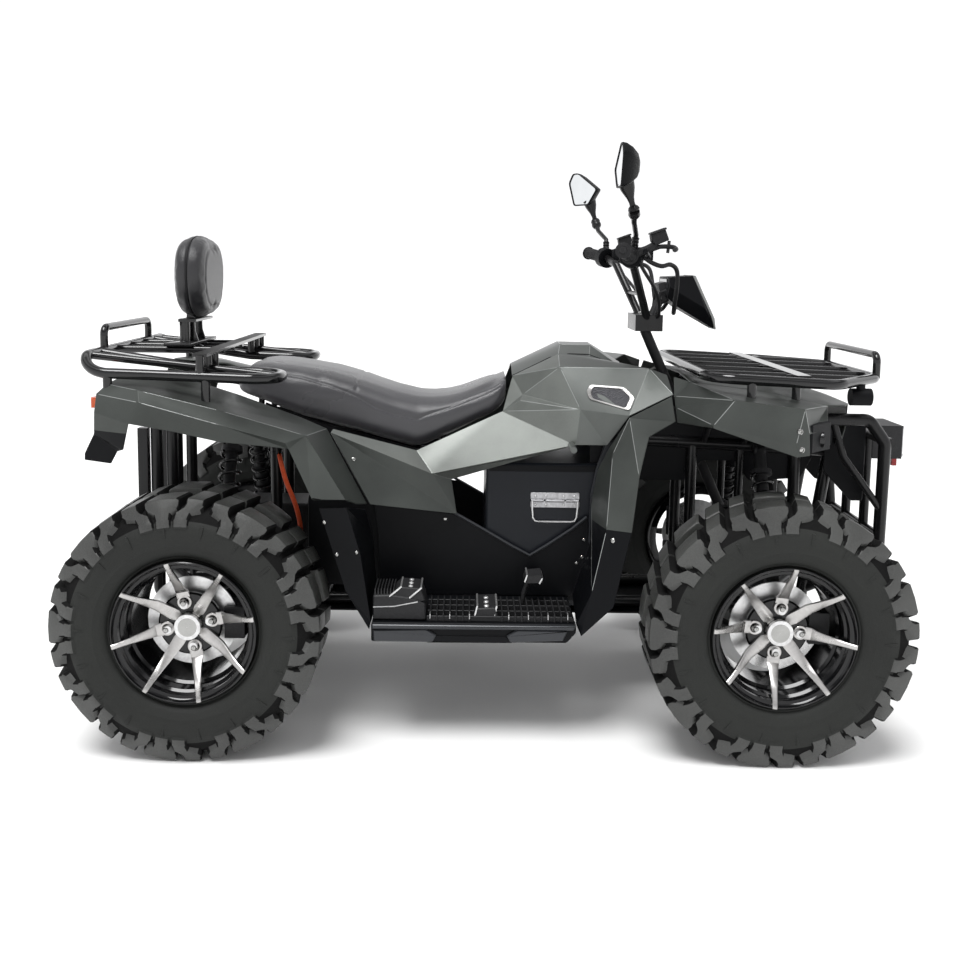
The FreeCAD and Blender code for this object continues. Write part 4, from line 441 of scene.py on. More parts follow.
# The rim's face lies a little inside the tyre, its dish deeper; the other rings are measured from the dish
RIM_INSET, DISH_DEPTH, NUT_R = 12, 71, 55
SPOKE = ((90, 11.5, 16), (112, 9.0, 34), (132, 7.2, 50), (148, 6.2, 62), (156, 6.0, 67), (163, 6.0, 71.8),
         (168.5, 6.0, 72.6))
EYED_ROOT = ((66, 15.5, 2), (80, 14.5, 5))
PLAIN_ROOT = ((30.5, 6, 1), (31.5, 10.5, 1.6), (38, 14, 2.2), (48, 14.5, 5))
SPOKE_ROUND = ((-1, 0), (-0.72, 1.8), (0.72, 1.8), (1, 0), (1, -9), (-1, -9))
EYE_RING = ((11.0, -1.0), (11.0, 3.6), (12.0, 4.4), (16.4, 4.4), (17.4, 3.4), (17.4, -8.0), (11.0, -8.0))
HUB_RING = ((1, 33), (1, 45), (-2, 52), (-2, 72), (-6, 76), (-14, 76), (-14, 33))
CAP_RING = ((0, 1), (0, 32), (14, 32), (17, 30.5), (18, 27.5), (24, 27), (27.5, 25), (28.5, 20), (28.8, 1))
NUT_RING = ((-3, 0.4), (-3, 9.5), (7, 9.5), (10, 8.0), (15, 7.4), (18, 5), (19, 0.4))


def lug(build, width, side, group, crown, foot, inner, centre):
    """One tread block from its inner end near the crown, over the shoulder, to its foot on the sidewall."""
    turn = 360 / GROUPS
    start = -90 + (GROUP_START + group) * turn
    rows = [((inner, 299), (inner, LUG_BASE_R)), ((inner + 0.004, 314.5), (inner, LUG_BASE_R)),
            ((inner + 0.022, 317.0), (inner + 0.02, LUG_BASE_R)), *LUG_ROWS]
    rings = []
    for (y, r), (base_y, base_r) in rows:
        t = min(1.0, max(0.0, (STEP_R - r) / STEP_DEPTH)) if y > STEP_FROM else 0.0
        low, high = [a * (1 - t) + b * t for a, b in zip(crown, foot)]
        slant = GROUP_SLANT * (0.5 - side * 0.5 * min(1.0, y / SLANT_UP_TO))
        middle, half = (low + high) / 2, (high - low) / 2
        rings.append([
            spun(centre, (base_y + (y - base_y) * lift) * width * side, base_r + (r - base_r) * lift,
                 math.radians(start + (middle + half * u + slant) * turn - draft))
            for u, draft, lift in LUG_COLUMNS])
    build.rings(rings)


def rib(build, width, side, angle, centre):
    """A thin raised line that runs down the sidewall between two groups."""
    build.rings([[spun(centre, (y - depth) * width * side, r, math.radians(angle + half * share))
                  for share, depth in RIB_ROUND] for y, r, half in RIB_PATH])


def tyre_mesh(width, centre):
    build = Build()
    half = [(y * width, r) for y, r in CARCASS]
    build.lathe(half + [(-y, r) for y, r in reversed(half[:-1])], TYRE_STEPS, centre)
    for group in range(GROUPS):
        for side in (1, -1):
            for crown, foot, inner in LUG_SPANS:
                lug(build, width, side, group, crown, foot, inner, centre)
            shift = GROUP_SLANT if side < 0 else 0
            for between in (0.5, 0):
                rib(build, width, side, -90 + (GROUP_START + group + between + shift) * 360 / GROUPS, centre)
    return build


def spoke(build, centre, side, dish, angle, eyed):
    """One machined spoke from the hub to the lip; side is the way the wheel's face looks."""
    a = math.radians(angle)
    out, across = Vector((math.cos(a), 0, math.sin(a))), Vector((-math.sin(a), 0, math.cos(a)))

    def put(r, w, depth):
        return centre + (out * r + across * w + Vector((0, side * (dish + depth), 0))) / 1000

    build.rings([[put(r, w * share, depth + lift) for share, lift in SPOKE_ROUND]
                 for r, w, depth in (EYED_ROOT if eyed else PLAIN_ROOT) + SPOKE])
    if eyed:
        build.rings([[put(NUT_R + r * math.cos(b), r * math.sin(b), depth) for r, depth in EYE_RING]
                     for b in turns(28)], looped=True)


def tread_light_and_shade(tyre, centre):
    """Painted light and shade on the tread: lighter block tops, and darker grooves and block sides; the
    carcass comes first in the mesh, then the blocks.
    """
    for look in ("rubber_block_lit", "rubber_groove_shaded"):
        tyre.materials.append(MATERIALS[look])
    plain, block, groove = range(3)
    carcass = (2 * len(CARCASS) - 1) * TYRE_STEPS
    for polygon in tyre.polygons:
        way = polygon.center - centre
        reach = math.hypot(way.x, way.z)
        flank = abs(polygon.normal.x * way.z - polygon.normal.z * way.x) / reach > 0.5
        if polygon.index < carcass:
            polygon.material_index = groove if reach > GROOVE_SHADE_FROM else plain
        elif reach > BLOCK_LIGHT_FROM:
            polygon.material_index = groove if flank else block


def wheel(name, side, x, track, width, phase):
    body = "wheel_" + name
    centre = at(x, side * track, TYRE_R)
    tyre = made(tyre_mesh(width, centre), "tread_" + name, "rubber_tyre", 32, body, "tyre_" + name)
    tread_light_and_shade(tyre.data, centre)
    half = width / 2 - RIM_INSET
    dish = half - DISH_DEPTH

    def from_dish(ring):
        return [(dish + depth, r) for depth, r in ring]

    barrel, arms, cap = Build(), Build(), Build()
    seat = width * 0.36
    barrel.lathe([
        (half, 170), (half + 1.5, 168), (half + 1.5, 165.5), (half - 3, 163.5), (half - 7, 160),
        (half - 9, 153), (half - 24, 151.5), (half - 30, 146), (half - 62, 145), (half - 68, 139),
        (-half + 12, 138), (-half + 3, 158), (-half, 164), (-half, 170), (-half + 5, 170), (-seat, 165),
        (-seat, 156), (seat, 156), (seat, 165), (half - 5, 170)], 96, centre, side)
    barrel.lathe(from_dish(HUB_RING), 64, centre, side)
    made(barrel, "rim_barrel_" + name, "rim_black", 30, body, "rim_" + name)
    cap.lathe(from_dish(CAP_RING), 48, centre, side)
    for k in range(8):
        angle = phase + 45 * k if side < 0 else 180 - phase - 45 * k
        spoke(arms, centre, side, dish, angle, k % 2 == 0)
    for k in range(4):
        angle = (phase if side < 0 else 180 - phase) + 90 * k
        cap.lathe(from_dish(NUT_RING), 18, spun(centre, 0, NUT_R, math.radians(angle)), side)
    made(arms, "rim_spokes_" + name, "machined", body=body)
    made(cap, "hub_cap_" + name, "chrome", 25, body)


def wheels():
    for end, x, track, width, phase in (("front", 1400, 486, 203, 84), ("rear", 0, 463, 254, 102)):
        for hand, side in (("_left", 1), ("_right", -1)):
            wheel(end + hand, side, x, track, width, phase)


# Padded pieces
def settle(item):
    """Bakes an object's modifiers into its mesh."""
    graph = bpy.context.evaluated_depsgraph_get()
    graph.update()
    baked = bpy.data.meshes.new_from_object(item.evaluated_get(graph))
    item.modifiers.clear()
    item.data = baked


def read(mesh, key):
    flat = np.empty(len(mesh.vertices) * 3)
    mesh.vertices.foreach_get(key, flat)
    return flat.reshape(-1, 3)


def stuffed(item, voxel, cap, steps=20, pressure=4.0):
    """Swells a closed form as a stuffed cover, with each point kept within a cap of where it began."""
    modifier(item, "REMESH", mode="VOXEL", voxel_size=voxel)
    settle(item)
    start = read(item.data, "co")
    cloth = modifier(item, "CLOTH")
    for key, value in dict(
            quality=5, mass=0.3, tension_stiffness=20, compression_stiffness=20, shear_stiffness=8,
            bending_stiffness=1.0, use_pressure=True, uniform_pressure_force=pressure).items():
        setattr(cloth.settings, key, value)
    cloth.settings.effector_weights.gravity = 0
    cloth.point_cache.frame_start, cloth.point_cache.frame_end = 1, steps
    scene = bpy.context.scene
    for number in range(1, steps + 1):
        scene.frame_set(number)
    graph = bpy.context.evaluated_depsgraph_get()
    swollen = read(item.evaluated_get(graph).data, "co")
    item.modifiers.clear()
    scene.frame_set(1)
    move = swollen - start
    far = np.linalg.norm(move, axis=1)
    move *= (np.minimum(far, cap) / np.maximum(far, 1e-9))[:, None]
    item.data.vertices.foreach_set("co", (start + move).ravel())
    modifier(item, "SMOOTH", iterations=4)
    modifier(item, "SUBSURF", levels=1)
    settle(item)
    for polygon in item.data.polygons:
        polygon.use_smooth = True


def laid(item, points, count):
    """Evenly spaced places along a line of points, brought onto a surface, with its direction there."""
    runs = [0.0]
    for a, b in zip(points, points[1:]):
        runs.append(runs[-1] + (b - a).length)
    tree = BVHTree.FromObject(item, bpy.context.evaluated_depsgraph_get())
    places = []
    for k in range(count):
        spot = runs[-1] * k / (count - 1)
        i = max(j for j in range(len(points) - 1) if runs[j] <= spot + 1e-9)
        share = (spot - runs[i]) / max(runs[i + 1] - runs[i], 1e-9)
        near, normal, _, _ = tree.find_nearest(points[i].lerp(points[i + 1], share))
        places.append((near, normal))
    return places


def sewn(item, places, width, depth):
    """Sinks a seam into the cover along places on it."""
    line = np.array([tuple(p) for p, _ in places])
    mesh = item.data
    spots, normals = read(mesh, "co"), read(mesh, "normal")
    best = np.full(len(spots), 1e9)
    for a, b in zip(line, line[1:]):
        run = b - a
        t = np.clip(((spots - a) @ run) / max(run @ run, 1e-12), 0, 1)
        best = np.minimum(best, np.linalg.norm(spots - (a + t[:, None] * run), axis=1))
    sink = depth * np.exp(-(best / width) ** 2)
    mesh.vertices.foreach_set("co", (spots - normals * sink[:, None]).ravel())
    mesh.update()


def stitches(build, places, offset, radius=0.0006):
    """Short threads beside a seam, two places apart."""
    for k in range(1, len(places) - 2, 3):
        (a, normal), (b, _) = places[k], places[k + 2]
        side = (b - a).cross(normal).normalized() * offset
        lift = normal * radius * 0.6
        build.tube([a + side - normal * radius, a.lerp(b, 0.15) + side + lift, a.lerp(b, 0.85) + side + lift,
                    b + side - normal * radius], radius, 4)


# Seat: stations of place, lower and upper height and half width, and shares of them round the section
SEAT_ROWS = (
    (46, 842, 880, 152), (58, 834, 892, 168), (78, 828, 901, 178), (122, 812, 907, 185),
    (170, 792, 904, 186), (218, 774, 898, 186), (290, 753, 887, 183), (361, 735, 868, 180),
    (410, 721, 851, 177), (460, 708, 835, 174), (523, 693, 821, 172), (560, 709, 819, 170),
    (600, 728, 822, 168), (640, 747, 832, 165), (680, 767, 848, 162), (716, 784, 864, 156),
    (740, 800, 878, 147), (754, 818, 885, 128))
SEAT_ROUND = (
    (-0.62, 0.0), (-0.94, 0.03), (-1.0, 0.22), (-1.0, 0.52), (-0.97, 0.72), (-0.86, 0.86), (-0.62, 0.95),
    (-0.3, 0.985), (0.0, 0.99), (0.3, 0.985), (0.62, 0.95), (0.86, 0.86), (0.97, 0.72), (1.0, 0.52),
    (1.0, 0.22), (0.94, 0.03), (0.62, 0.0))
SEAM_ROUND = (
    *[(0.9, 0.84)] * 4, (0.9, 0.83), (0.94, 0.79), (0.98, 0.72), (1.0, 0.62), (1.0, 0.58), (1.0, 0.60),
    (0.97, 0.70), (0.94, 0.76), (0.91, 0.81), (0.9, 0.83), (0.9, 0.84), (0.9, 0.84))
CROSS_SEAM = ((-0.9, 0.82), (-0.6, 0.95), (0, 1), (0.6, 0.95), (0.9, 0.82))


def seat_place(row, w, v):
    x, low, high, half = row
    return at(x, half * w, low + (high - low) * v)


def seat():
    build, thread = Build(), Build()
    build.rings([[seat_place(row, w, v) for w, v in SEAT_ROUND] for row in SEAT_ROWS])
    item = build.done("seat_cover", MATERIALS["vinyl"], 35)
    stuffed(item, 0.008, 0.006, pressure=3.0)
    seams = []
    for side in (1, -1):
        line = [seat_place(row, side * w, v) for row, (w, v) in zip(SEAT_ROWS[1:-1], SEAM_ROUND)]
        seams.append(laid(item, line, 170))
    for seam in seams:
        sewn(item, seam, 0.0035, 0.003)
    sewn(item, laid(item, [seat_place(SEAT_ROWS[7], w, v) for w, v in CROSS_SEAM], 50), 0.004, 0.0025)
    for seam in seams:
        stitches(thread, [(p - n * 0.0012, n) for p, n in seam], 0.0042)
    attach(item, "chassis")
    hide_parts("seat")
    made(thread, "seat_stitches", "thread", 35)


PAD_X, PAD_Z, PAD_HALF, PAD_TALL, PAD_DEEP = -84, 1130, 147, 107, 38
PAD_RINGS = ((-PAD_DEEP, 0.76), (3 - PAD_DEEP, 0.90), (10 - PAD_DEEP, 0.97), (-8, 1.0), (12, 1.0),
             (PAD_DEEP - 9, 0.975), (PAD_DEEP - 2, 0.91), (PAD_DEEP, 0.78))


def pad_ring(x, size):
    """The cushion's outline, squarer than an oval and narrower below."""
    ring = []
    for a in turns(44):
        c, s = math.cos(a), math.sin(a)
        y = PAD_HALF * math.copysign(abs(c) ** 0.72, c) * (1 - 0.10 * max(0.0, -s))
        z = PAD_TALL * math.copysign(abs(s) ** 0.78, s)
        ring.append(at(PAD_X + x, y * size, PAD_Z + z * size))
    return ring


def backrest():
    build, piping = Build(), Build()
    build.rings([pad_ring(x, size) for x, size in PAD_RINGS])
    item = build.done("backrest_cover", MATERIALS["vinyl_dark"], 35)
    stuffed(item, 0.005, 0.005)
    ring, inset = pad_ring(-2, 1.0), pad_ring(PAD_DEEP, 0.74)
    seam = laid(item, ring + ring[:1], 160)
    sewn(item, seam, 0.004, 0.004)
    sewn(item, laid(item, inset + inset[:1], 120), 0.005, 0.0022)
    piping.tube([p - n * 0.0022 for p, n in seam[:-1]], 0.0022, 6, True)
    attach(item, "chassis")
    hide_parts("backrest_pad")
    made(piping, "backrest_piping", "rubber_soft", 35)


# Rigid pieces
def rounded(points, radius, steps=3):
    """A flat outline with each corner turned into a short arc."""
    ring = []
    for i, corner in enumerate(points):
        before, corner, after = Vector(points[i - 1]), Vector(corner), Vector(points[(i + 1) % len(points)])
        trim = min(radius, (before - corner).length * 0.45, (after - corner).length * 0.45)
        a = corner + (before - corner).normalized() * trim
        b = corner + (after - corner).normalized() * trim
        for k in range(steps + 1):
            t = k / steps
            ring.append(a * (1 - t) ** 2 + corner * 2 * t * (1 - t) + b * t * t)
    return ring


def plate(build, points, y0, y1, radius=4, edge=1.5):
    """A flat piece with rounded corners and soft edges: an X and Z outline between two places across."""
    step = edge if y1 > y0 else -edge
    outline = rounded(points, radius)
    area = sum(a.cross(b) for a, b in zip(outline, outline[1:] + outline[:1]))
    rings = []
    for y, inset in ((y0, edge), (y0 + step, 0), (y1 - step, 0), (y1, edge)):
        ring = []
        for i, p in enumerate(outline):
            along = (outline[(i + 1) % len(outline)] - outline[i - 1]).normalized()
            q = p + Vector((-along.y, along.x)) * math.copysign(inset, area)
            ring.append(at(q.x, y, q.y))
        rings.append(ring)
    build.rings(rings)


def pair(build, points, y0, y1, radius=4, edge=1.5):
    """The same plate on each side of the machine."""
    for sign in (1, -1):
        plate(build, points, sign * y0, sign * y1, radius, edge)


def eased(points, steps=6):
    """A smooth line through a few points."""
    ends = [points[0], *points, points[-1]]
    line = []
    for a, b, c, d in zip(ends, ends[1:], ends[2:], ends[3:]):
        for k in range(steps):
            t = k / steps
            line.append((b * 2 + (c - a) * t + (a * 2 - b * 5 + c * 4 - d) * t ** 2
                         + (b * 3 - a - c * 3 + d) * t ** 3) / 2)
    return line + [points[-1]]


def drum(build, start, end, stations, steps=20):
    """A turned form along a line: stations are (share of the line, radius in millimetres)."""
    line = [start.lerp(end, share) for share, _ in stations]
    build.tube(line, [radius / 1000 for _, radius in stations], steps)


def bolt(build, place, normal, radius=6.0, height=3.4):
    """A button-head screw with a socket, on a surface."""
    n = normal.normalized()
    side = n.orthogonal().normalized()
    profile = ((0.02, -2), (radius, -2), (radius, 0.4), (radius * 0.94, height * 0.5),
               (radius * 0.7, height * 0.9), (radius * 0.5, height), (radius * 0.46, height * 0.35),
               (0.02, height * 0.3))
    build.rings([[place + (way * r + n * h) / 1000 for way in circle(side, n.cross(side), 12)]
                 for r, h in profile], False, False)


def skin_tree(starts):
    verts, faces = [], []
    for name in matching(starts):
        mesh = NODES[name].data
        start = len(verts)
        verts += [v.co.copy() for v in mesh.vertices]
        faces += [tuple(start + i for i in p.vertices) for p in mesh.polygons]
    return BVHTree.FromPolygons(verts, faces)


def met(tree, start, way):
    """Where a line first meets a surface, and the way the surface looks there."""
    place, normal, _, _ = tree.ray_cast(start, Vector(way))
    if place is None:
        return None
    return place, normal if normal.dot(Vector(way)) <= 0 else -normal


def on_side(tree, x, z, sign):
    return met(tree, at(x, sign * 800, z), (0, -sign, 0))


def from_above(tree, x, y, top=1300):
    return met(tree, at(x, y, top), (0, 0, -1))


DAMPER = ((0, 10), (0.16, 10), (0.161, 26), (0.19, 28), (0.2, 21), (0.5, 21), (0.51, 15.4), (0.8, 15.4),
          (0.805, 28), (0.84, 28), (0.845, 17), (1, 17))
DAMPER_EYE = ((0, 6), (0.001, 15), (0.3, 15), (0.31, 14), (0.69, 14), (0.7, 15), (0.999, 15), (1, 6))
COILS, COIL_STEPS, COIL_R, EYE_HALF = 7.5, 20, 0.0265, Vector((0.015, 0, 0))


def shocks():
    """Coil springs round their dampers, from the upper arms to the upper rails."""
    for end, x, foot_y, head_z in (("front", 1400, 310.7, 688), ("rear", 0, 334.4, 744.8)):
        coils, bodies = Build(), Build()
        for sign in (1, -1):
            foot, head = route(sign, (x + 35, foot_y, 386.8), (x + 35, 136.3, head_z))
            drum(bodies, foot, head, DAMPER, 24)
            for spot in (foot, head):
                drum(bodies, spot - EYE_HALF, spot + EYE_HALF, DAMPER_EYE)
            ahead = (head - foot).normalized()
            side = ahead.orthogonal().normalized()
            ways = circle(side, ahead.cross(side), COIL_STEPS)
            count = int(COILS * COIL_STEPS)
            coils.tube([foot.lerp(head, 0.20 + 0.60 * k / count) + ways[k % COIL_STEPS] * COIL_R
                        for k in range(count + 1)], 0.0042, 8)
        made(bodies, end + "_damper_bodies", "cast", 40, stands_for=end + "_shocks")
        made(coils, end + "_coil_springs", "rack", 50)


MIRROR_OUTLINE = ((0.5, 0.22), (0.36, 0.5), (0.18, 0.5), (-0.5, -0.04), (-0.2, -0.5), (0.3, -0.5))
MIRROR_WIDE, MIRROR_TALL = 150, 101
MIRROR_LEVELS = ((4, 0.90), (0.5, 0.93), (0, 0.985), (3, 1.0), (12, 0.97), (28, 0.80), (42, 0.54), (48, 0.28))


def mirrors():
    shells, glasses, stems = Build(), Build(), Build()
    for sign, toe in ((1, 0.5), (-1, 0.0)):
        reach = math.sqrt(1 - toe * toe)
        outward, ahead = Vector((-toe, sign * reach, 0)), Vector((reach, sign * toe, 0))
        centre = at(1000, sign * 420, 1408)
        ring = rounded([(u * MIRROR_WIDE, v * MIRROR_TALL) for u, v in MIRROR_OUTLINE], 9, 4)

        def put(depth, size):
            return [centre + (outward * p.x * size + Vector((0, 0, p.y * size)) + ahead * depth) / 1000
                    for p in ring]

        shells.rings([put(depth, size) for depth, size in MIRROR_LEVELS], first=False)
        glasses.rings([put(2.4, 0.91), put(4.4, 0.91)])
        neck = centre + ahead * 0.020 - Vector((0, 0, 0.036)) - outward * 0.012
        ball, foot, bend = route(sign, (1043, 402, 1305), (1062, 279, 1203), (1064, 300, 1252))
        collar = ball.lerp(foot, 0.25)
        drum(stems, neck, ball, [
            (0, 20), (0.25, 17), (0.55, 9), (0.7, 7), (0.8, 7), (0.86, 12), (0.95, 14.5), (1, 12)])
        drum(stems, ball, collar, [(0, 13), (0.3, 14.5), (0.5, 11), (0.6, 7), (1, 6.5)])
        stems.tube([collar, collar.lerp(bend, 0.7), bend, bend.lerp(foot, 0.4), foot], 0.0065)
        for k in range(4):
            spot = bend.lerp(foot, 0.15 + k * 0.16)
            drum(stems, spot, spot + (foot - bend).normalized() * 0.005,
                 [(0, 7), (0.1, 9.5), (0.9, 9.5), (1, 7)], 14)
    made(shells, "mirror_shells", "dark", 30, "handlebar", "mirrors")
    made(stems, "mirror_stems", "tube", 40, "handlebar")
    made(glasses, "mirror_glass", "mirror", 35, "handlebar")


def grips():
    """Ribbed rubbers with their end plugs, levers, master cylinders and hoses."""
    rubber, ends = Build(), Build()
    ribs = [(0.07 + k * 0.058 + step, r) for k in range(15)
            for step, r in ((0, 15.2), (0.012, 16.8), (0.036, 16.8), (0.046, 15.2))]
    stations = [(0, 12), (0.002, 22), (0.03, 22.5), (0.045, 17), *ribs,
                (0.95, 17), (0.955, 19.5), (0.985, 19.5), (0.995, 17), (1.0, 8)]
    for sign in (1, -1):
        inner, end = route(sign, (1062, 262, 1197), (1024, 380, 1211))
        ahead = (end - inner).normalized()
        stop, top = end + ahead * 0.011, inner + ahead * 0.0085
        drum(rubber, inner + ahead * 0.034, stop, stations, 28)
        drum(ends, stop - ahead * 0.001, stop + ahead * 0.0045, [(0, 9), (0.5, 9), (0.9, 7.5), (1.0, 2)], 16)
        for turn, tall in ((1.4, 31.5), (2.45, 31.0)):
            way = Vector((math.cos(turn), 0, math.sin(turn)))
            drum(ends, top + way * 0.024, top + way * tall / 1000, [(0, 5.2), (0.7, 5.2), (1, 4.2)], 12)
        perch = route(sign, (1066, 288, 1206), (1092, 292, 1216), (1118, 298, 1228))
        ends.tube(perch, [0.011, 0.010, 0.012], 14)
        ends.tube(eased(route(sign, (1110, 300, 1222), (1132, 316, 1224), (1150, 340, 1222),
                              (1152, 366, 1217), (1146, 378, 1215)), 4), 0.0058, 10)
        ends.tube(route(sign, (1140, 320, 1208), (1143, 320, 1238)), 0.004, 8)
        rubber.tube(eased(route(
            sign, (1080, 268, 1206), (1108, 262, 1186), (1138, 250, 1176), (1164, 232, 1180),
            (1184, 214, 1164), (1190, 190, 1120), (1192, 150, 1074), (1200, 100, 1052),
            (1212, 58, 1078))), 0.0058, 10)
        rubber.tube(eased(route(
            sign, (1074, 262, 1194), (1098, 240, 1160), (1130, 200, 1120), (1152, 150, 1080),
            (1162, 90, 1046), (1158, 56, 1034))), 0.0046, 10)
    pair(rubber, [(1102, 1236), (1099, 1252), (1134, 1266), (1144, 1240), (1112, 1226)], 282, 316, 3)
    pair(ends, [(1098, 1252), (1097, 1257), (1135, 1271), (1137, 1266)], 279, 319, 1.5, 0.8)
    made(rubber, "grip_rubbers", "rubber_soft", 30, "handlebar", "grips")
    made(ends, "grip_ends", "cast", 30, "handlebar")


def pod():
    """The instrument pod: a wedge between two facetted cheeks, whose corners are named by letters."""
    shell, face, screen, arm = Build(), Build(), Build(), Build()
    cheek = {
        "a": (1188, 70, 1147), "b": (1256, 66, 1151), "c": (1312, 52, 1036), "d": (1322, 44, 1008),
        "e": (1221, 58, 1065), "f": (1188, 66, 1091), "m": (1190, 88, 1122), "n": (1292, 70, 1064)}
    index = {(key, sign): k * 2 + (sign < 0) for k, key in enumerate(cheek) for sign in (1, -1)}
    faces = [tuple(index[key, sign] for key in keys)
             for sign in (1, -1) for keys in ("abnm", "bcn", "mnef", "ncde")]
    faces += [(index[p, 1], index[q, 1], index[q, -1], index[p, -1])
              for p, q in ("ab", "bc", "cd", "de", "ef", "fm", "ma")]
    shell.add([at(x, sign * y, z) for x, y, z in cheek.values() for sign in (1, -1)], faces)
    rear = ((1254, 68, 1152.5), (1312, 55, 1040), (1324, 46, 1006))
    front = ((1264, 60, 1151), (1322, 48, 1037), (1328, 42, 1007))
    face.rings([route(1, back, ahead) + route(-1, ahead, back) for back, ahead in zip(rear, front)])
    screen.prism(route(1, *((1186.5, y, z) for y, z in (
        (-54, 1098), (-60, 1120), (-52, 1141), (52, 1141), (60, 1120), (54, 1098)))), Vector((0.006, 0, 0)))
    bevelled(made(shell, "pod_shell", "dark", 20, "handlebar", "instrument_pod"), 0.002, 12)
    bevelled(made(face, "pod_front_plate", "pale", 20, "handlebar"), 0.001, 20)
    made(screen, "pod_screen", "glass", 20, "handlebar")
    for sign in (1, -1):
        for radius, steps, places in (
                (0.009, 12, ((1146, 18, 1022), (1160, 20, 1040), (1176, 24, 1078), (1196, 28, 1090))),
                (0.004, 10, ((1150, 40, 1018), (1168, 42, 1060), (1172, 44, 1105), (1192, 46, 1112)))):
            arm.tube(route(sign, *places), radius, steps)
    clip = rounded([(1166, 1128), (1196, 1136), (1208, 1092), (1178, 1085)], 3)
    arm.prism([at(p.x, -40, p.y) for p in clip], Vector((0, 0.08, 0)))
    made(arm, "pod_bracket", "cast", 35, "handlebar")


BATTERY_Y, HINGE_Z = 214, 564


def battery():
    """The battery box with the seam of its lid and, on each side, a hinged latch with a wire bail."""
    box, lids, latch, pins = Build(), Build(), Build(), Build()
    plate(box, [(705, 279), (705, 662), (1010, 662), (1010, 279)], -BATTERY_Y, BATTERY_Y, 10, 5)
    pair(lids, [(712, 640), (712, 656), (1003, 656), (1003, 640)], BATTERY_Y, BATTERY_Y + 1.2, 3, 0.8)
    for z0, z1 in ((545, 562), (566, 585)):
        pair(latch, [(821, z0), (821, z1), (949, z1), (949, z0)], BATTERY_Y - 1, BATTERY_Y + 3.2, 3, 0.8)
    bail = ((826, 564), (826, 545), (828, 520), (833, 511), (843, 509), (927, 509), (937, 511), (942, 520),
            (944, 545), (944, 564))
    for sign in (1, -1):
        for x0, x1 in ((823, 856), (860, 910), (914, 947)):
            drum(latch, *route(sign, (x0, BATTERY_Y + 5.5, HINGE_Z), (x1, BATTERY_Y + 5.5, HINGE_Z)),
                 [(0, 3), (0.01, 4.2), (0.99, 4.2), (1, 3)], 14)
        for x in (834, 862, 908, 936):
            for z in (553, 576):
                bolt(pins, at(x, sign * (BATTERY_Y + 3.2), z), Vector((0, sign, 0)), 3.4, 2.0)
        pins.tube([at(x, sign * (BATTERY_Y + 8), z) for x, z in bail], 0.0026, 10)
    made(box, "battery_cover", "panel", stands_for="battery_box")
    made(lids, "battery_lid_lines", "dark", 35)
    made(latch, "battery_latches", "steel")
    made(pins, "battery_latch_bails", "disc", 35)


BOARD_TOP = 309


def footboards():
    """Footboards with facets on their rails, cross teeth, and a raised middle with bright wires and studs."""
    board, facets, tread, bright = Build(), Build(), Build(), Build()
    pair(board, [(426, 262), (426, BOARD_TOP), (924, BOARD_TOP), (924, 288), (902, 262)], 218, 458, 5, 3)
    pair(board, [(560, 262), (585, 279), (755, 279), (770, 262)], 440, 461, 3, 2)
    pair(facets, [(429, 297), (429, 308), (923, 308), (917, 298)], 452, 470, 2, 2)
    pair(facets, [(432, 264), (430, 293), (560, 297), (585, 281), (575, 264)], 452, 466, 3, 3)
    pair(facets, [(765, 264), (755, 281), (780, 297), (905, 296), (892, 270)], 452, 466, 3, 3)
    pair(tread, [(672, BOARD_TOP), (684, 340), (728, 342), (738, BOARD_TOP)], 318, 436, 3, 2)
    for y in (300, 345, 390, 435):
        pair(tread, [(560, BOARD_TOP), (560, 322), (915, 322), (922, BOARD_TOP)], y, y + 5, 2, 1)
    for k in range(22):
        x = 566 + k * 16
        if 668 < x < 742:
            continue
        pair(tread, [(x, BOARD_TOP), (x + 1, 329), (x + 4, 329), (x + 5, BOARD_TOP)], 296, 444, 1, 0.7)
        if k % 3 == 0:
            for sign in (1, -1):
                wire = route(sign, (x + 2.5, 444.5, 316), (x + 2.5, 444.5, 328), (x + 2.5, 430, 329.5))
                bright.tube(wire, 0.0012, 6)
    for sign in (1, -1):
        for x0, x1 in ((677, 683.6), (725, 731)):
            bright.tube(route(sign, (x0, 434, 317), (x1, 434, 344), (x1, 330, 344)), 0.0026, 8)
        for y in (420, 388, 352):
            bolt(bright, at(706, sign * y, 341.5), Vector((0, 0, 1)), 7, 4)
    made(board, "footboard_bodies", "dark", stands_for="footboard_left footboard_right")
    made(facets, "footboard_rails", "satin")
    made(tread, "footboard_treads", "cast")
    made(bright, "footboard_studs", "disc")


PEDAL_Y = -264


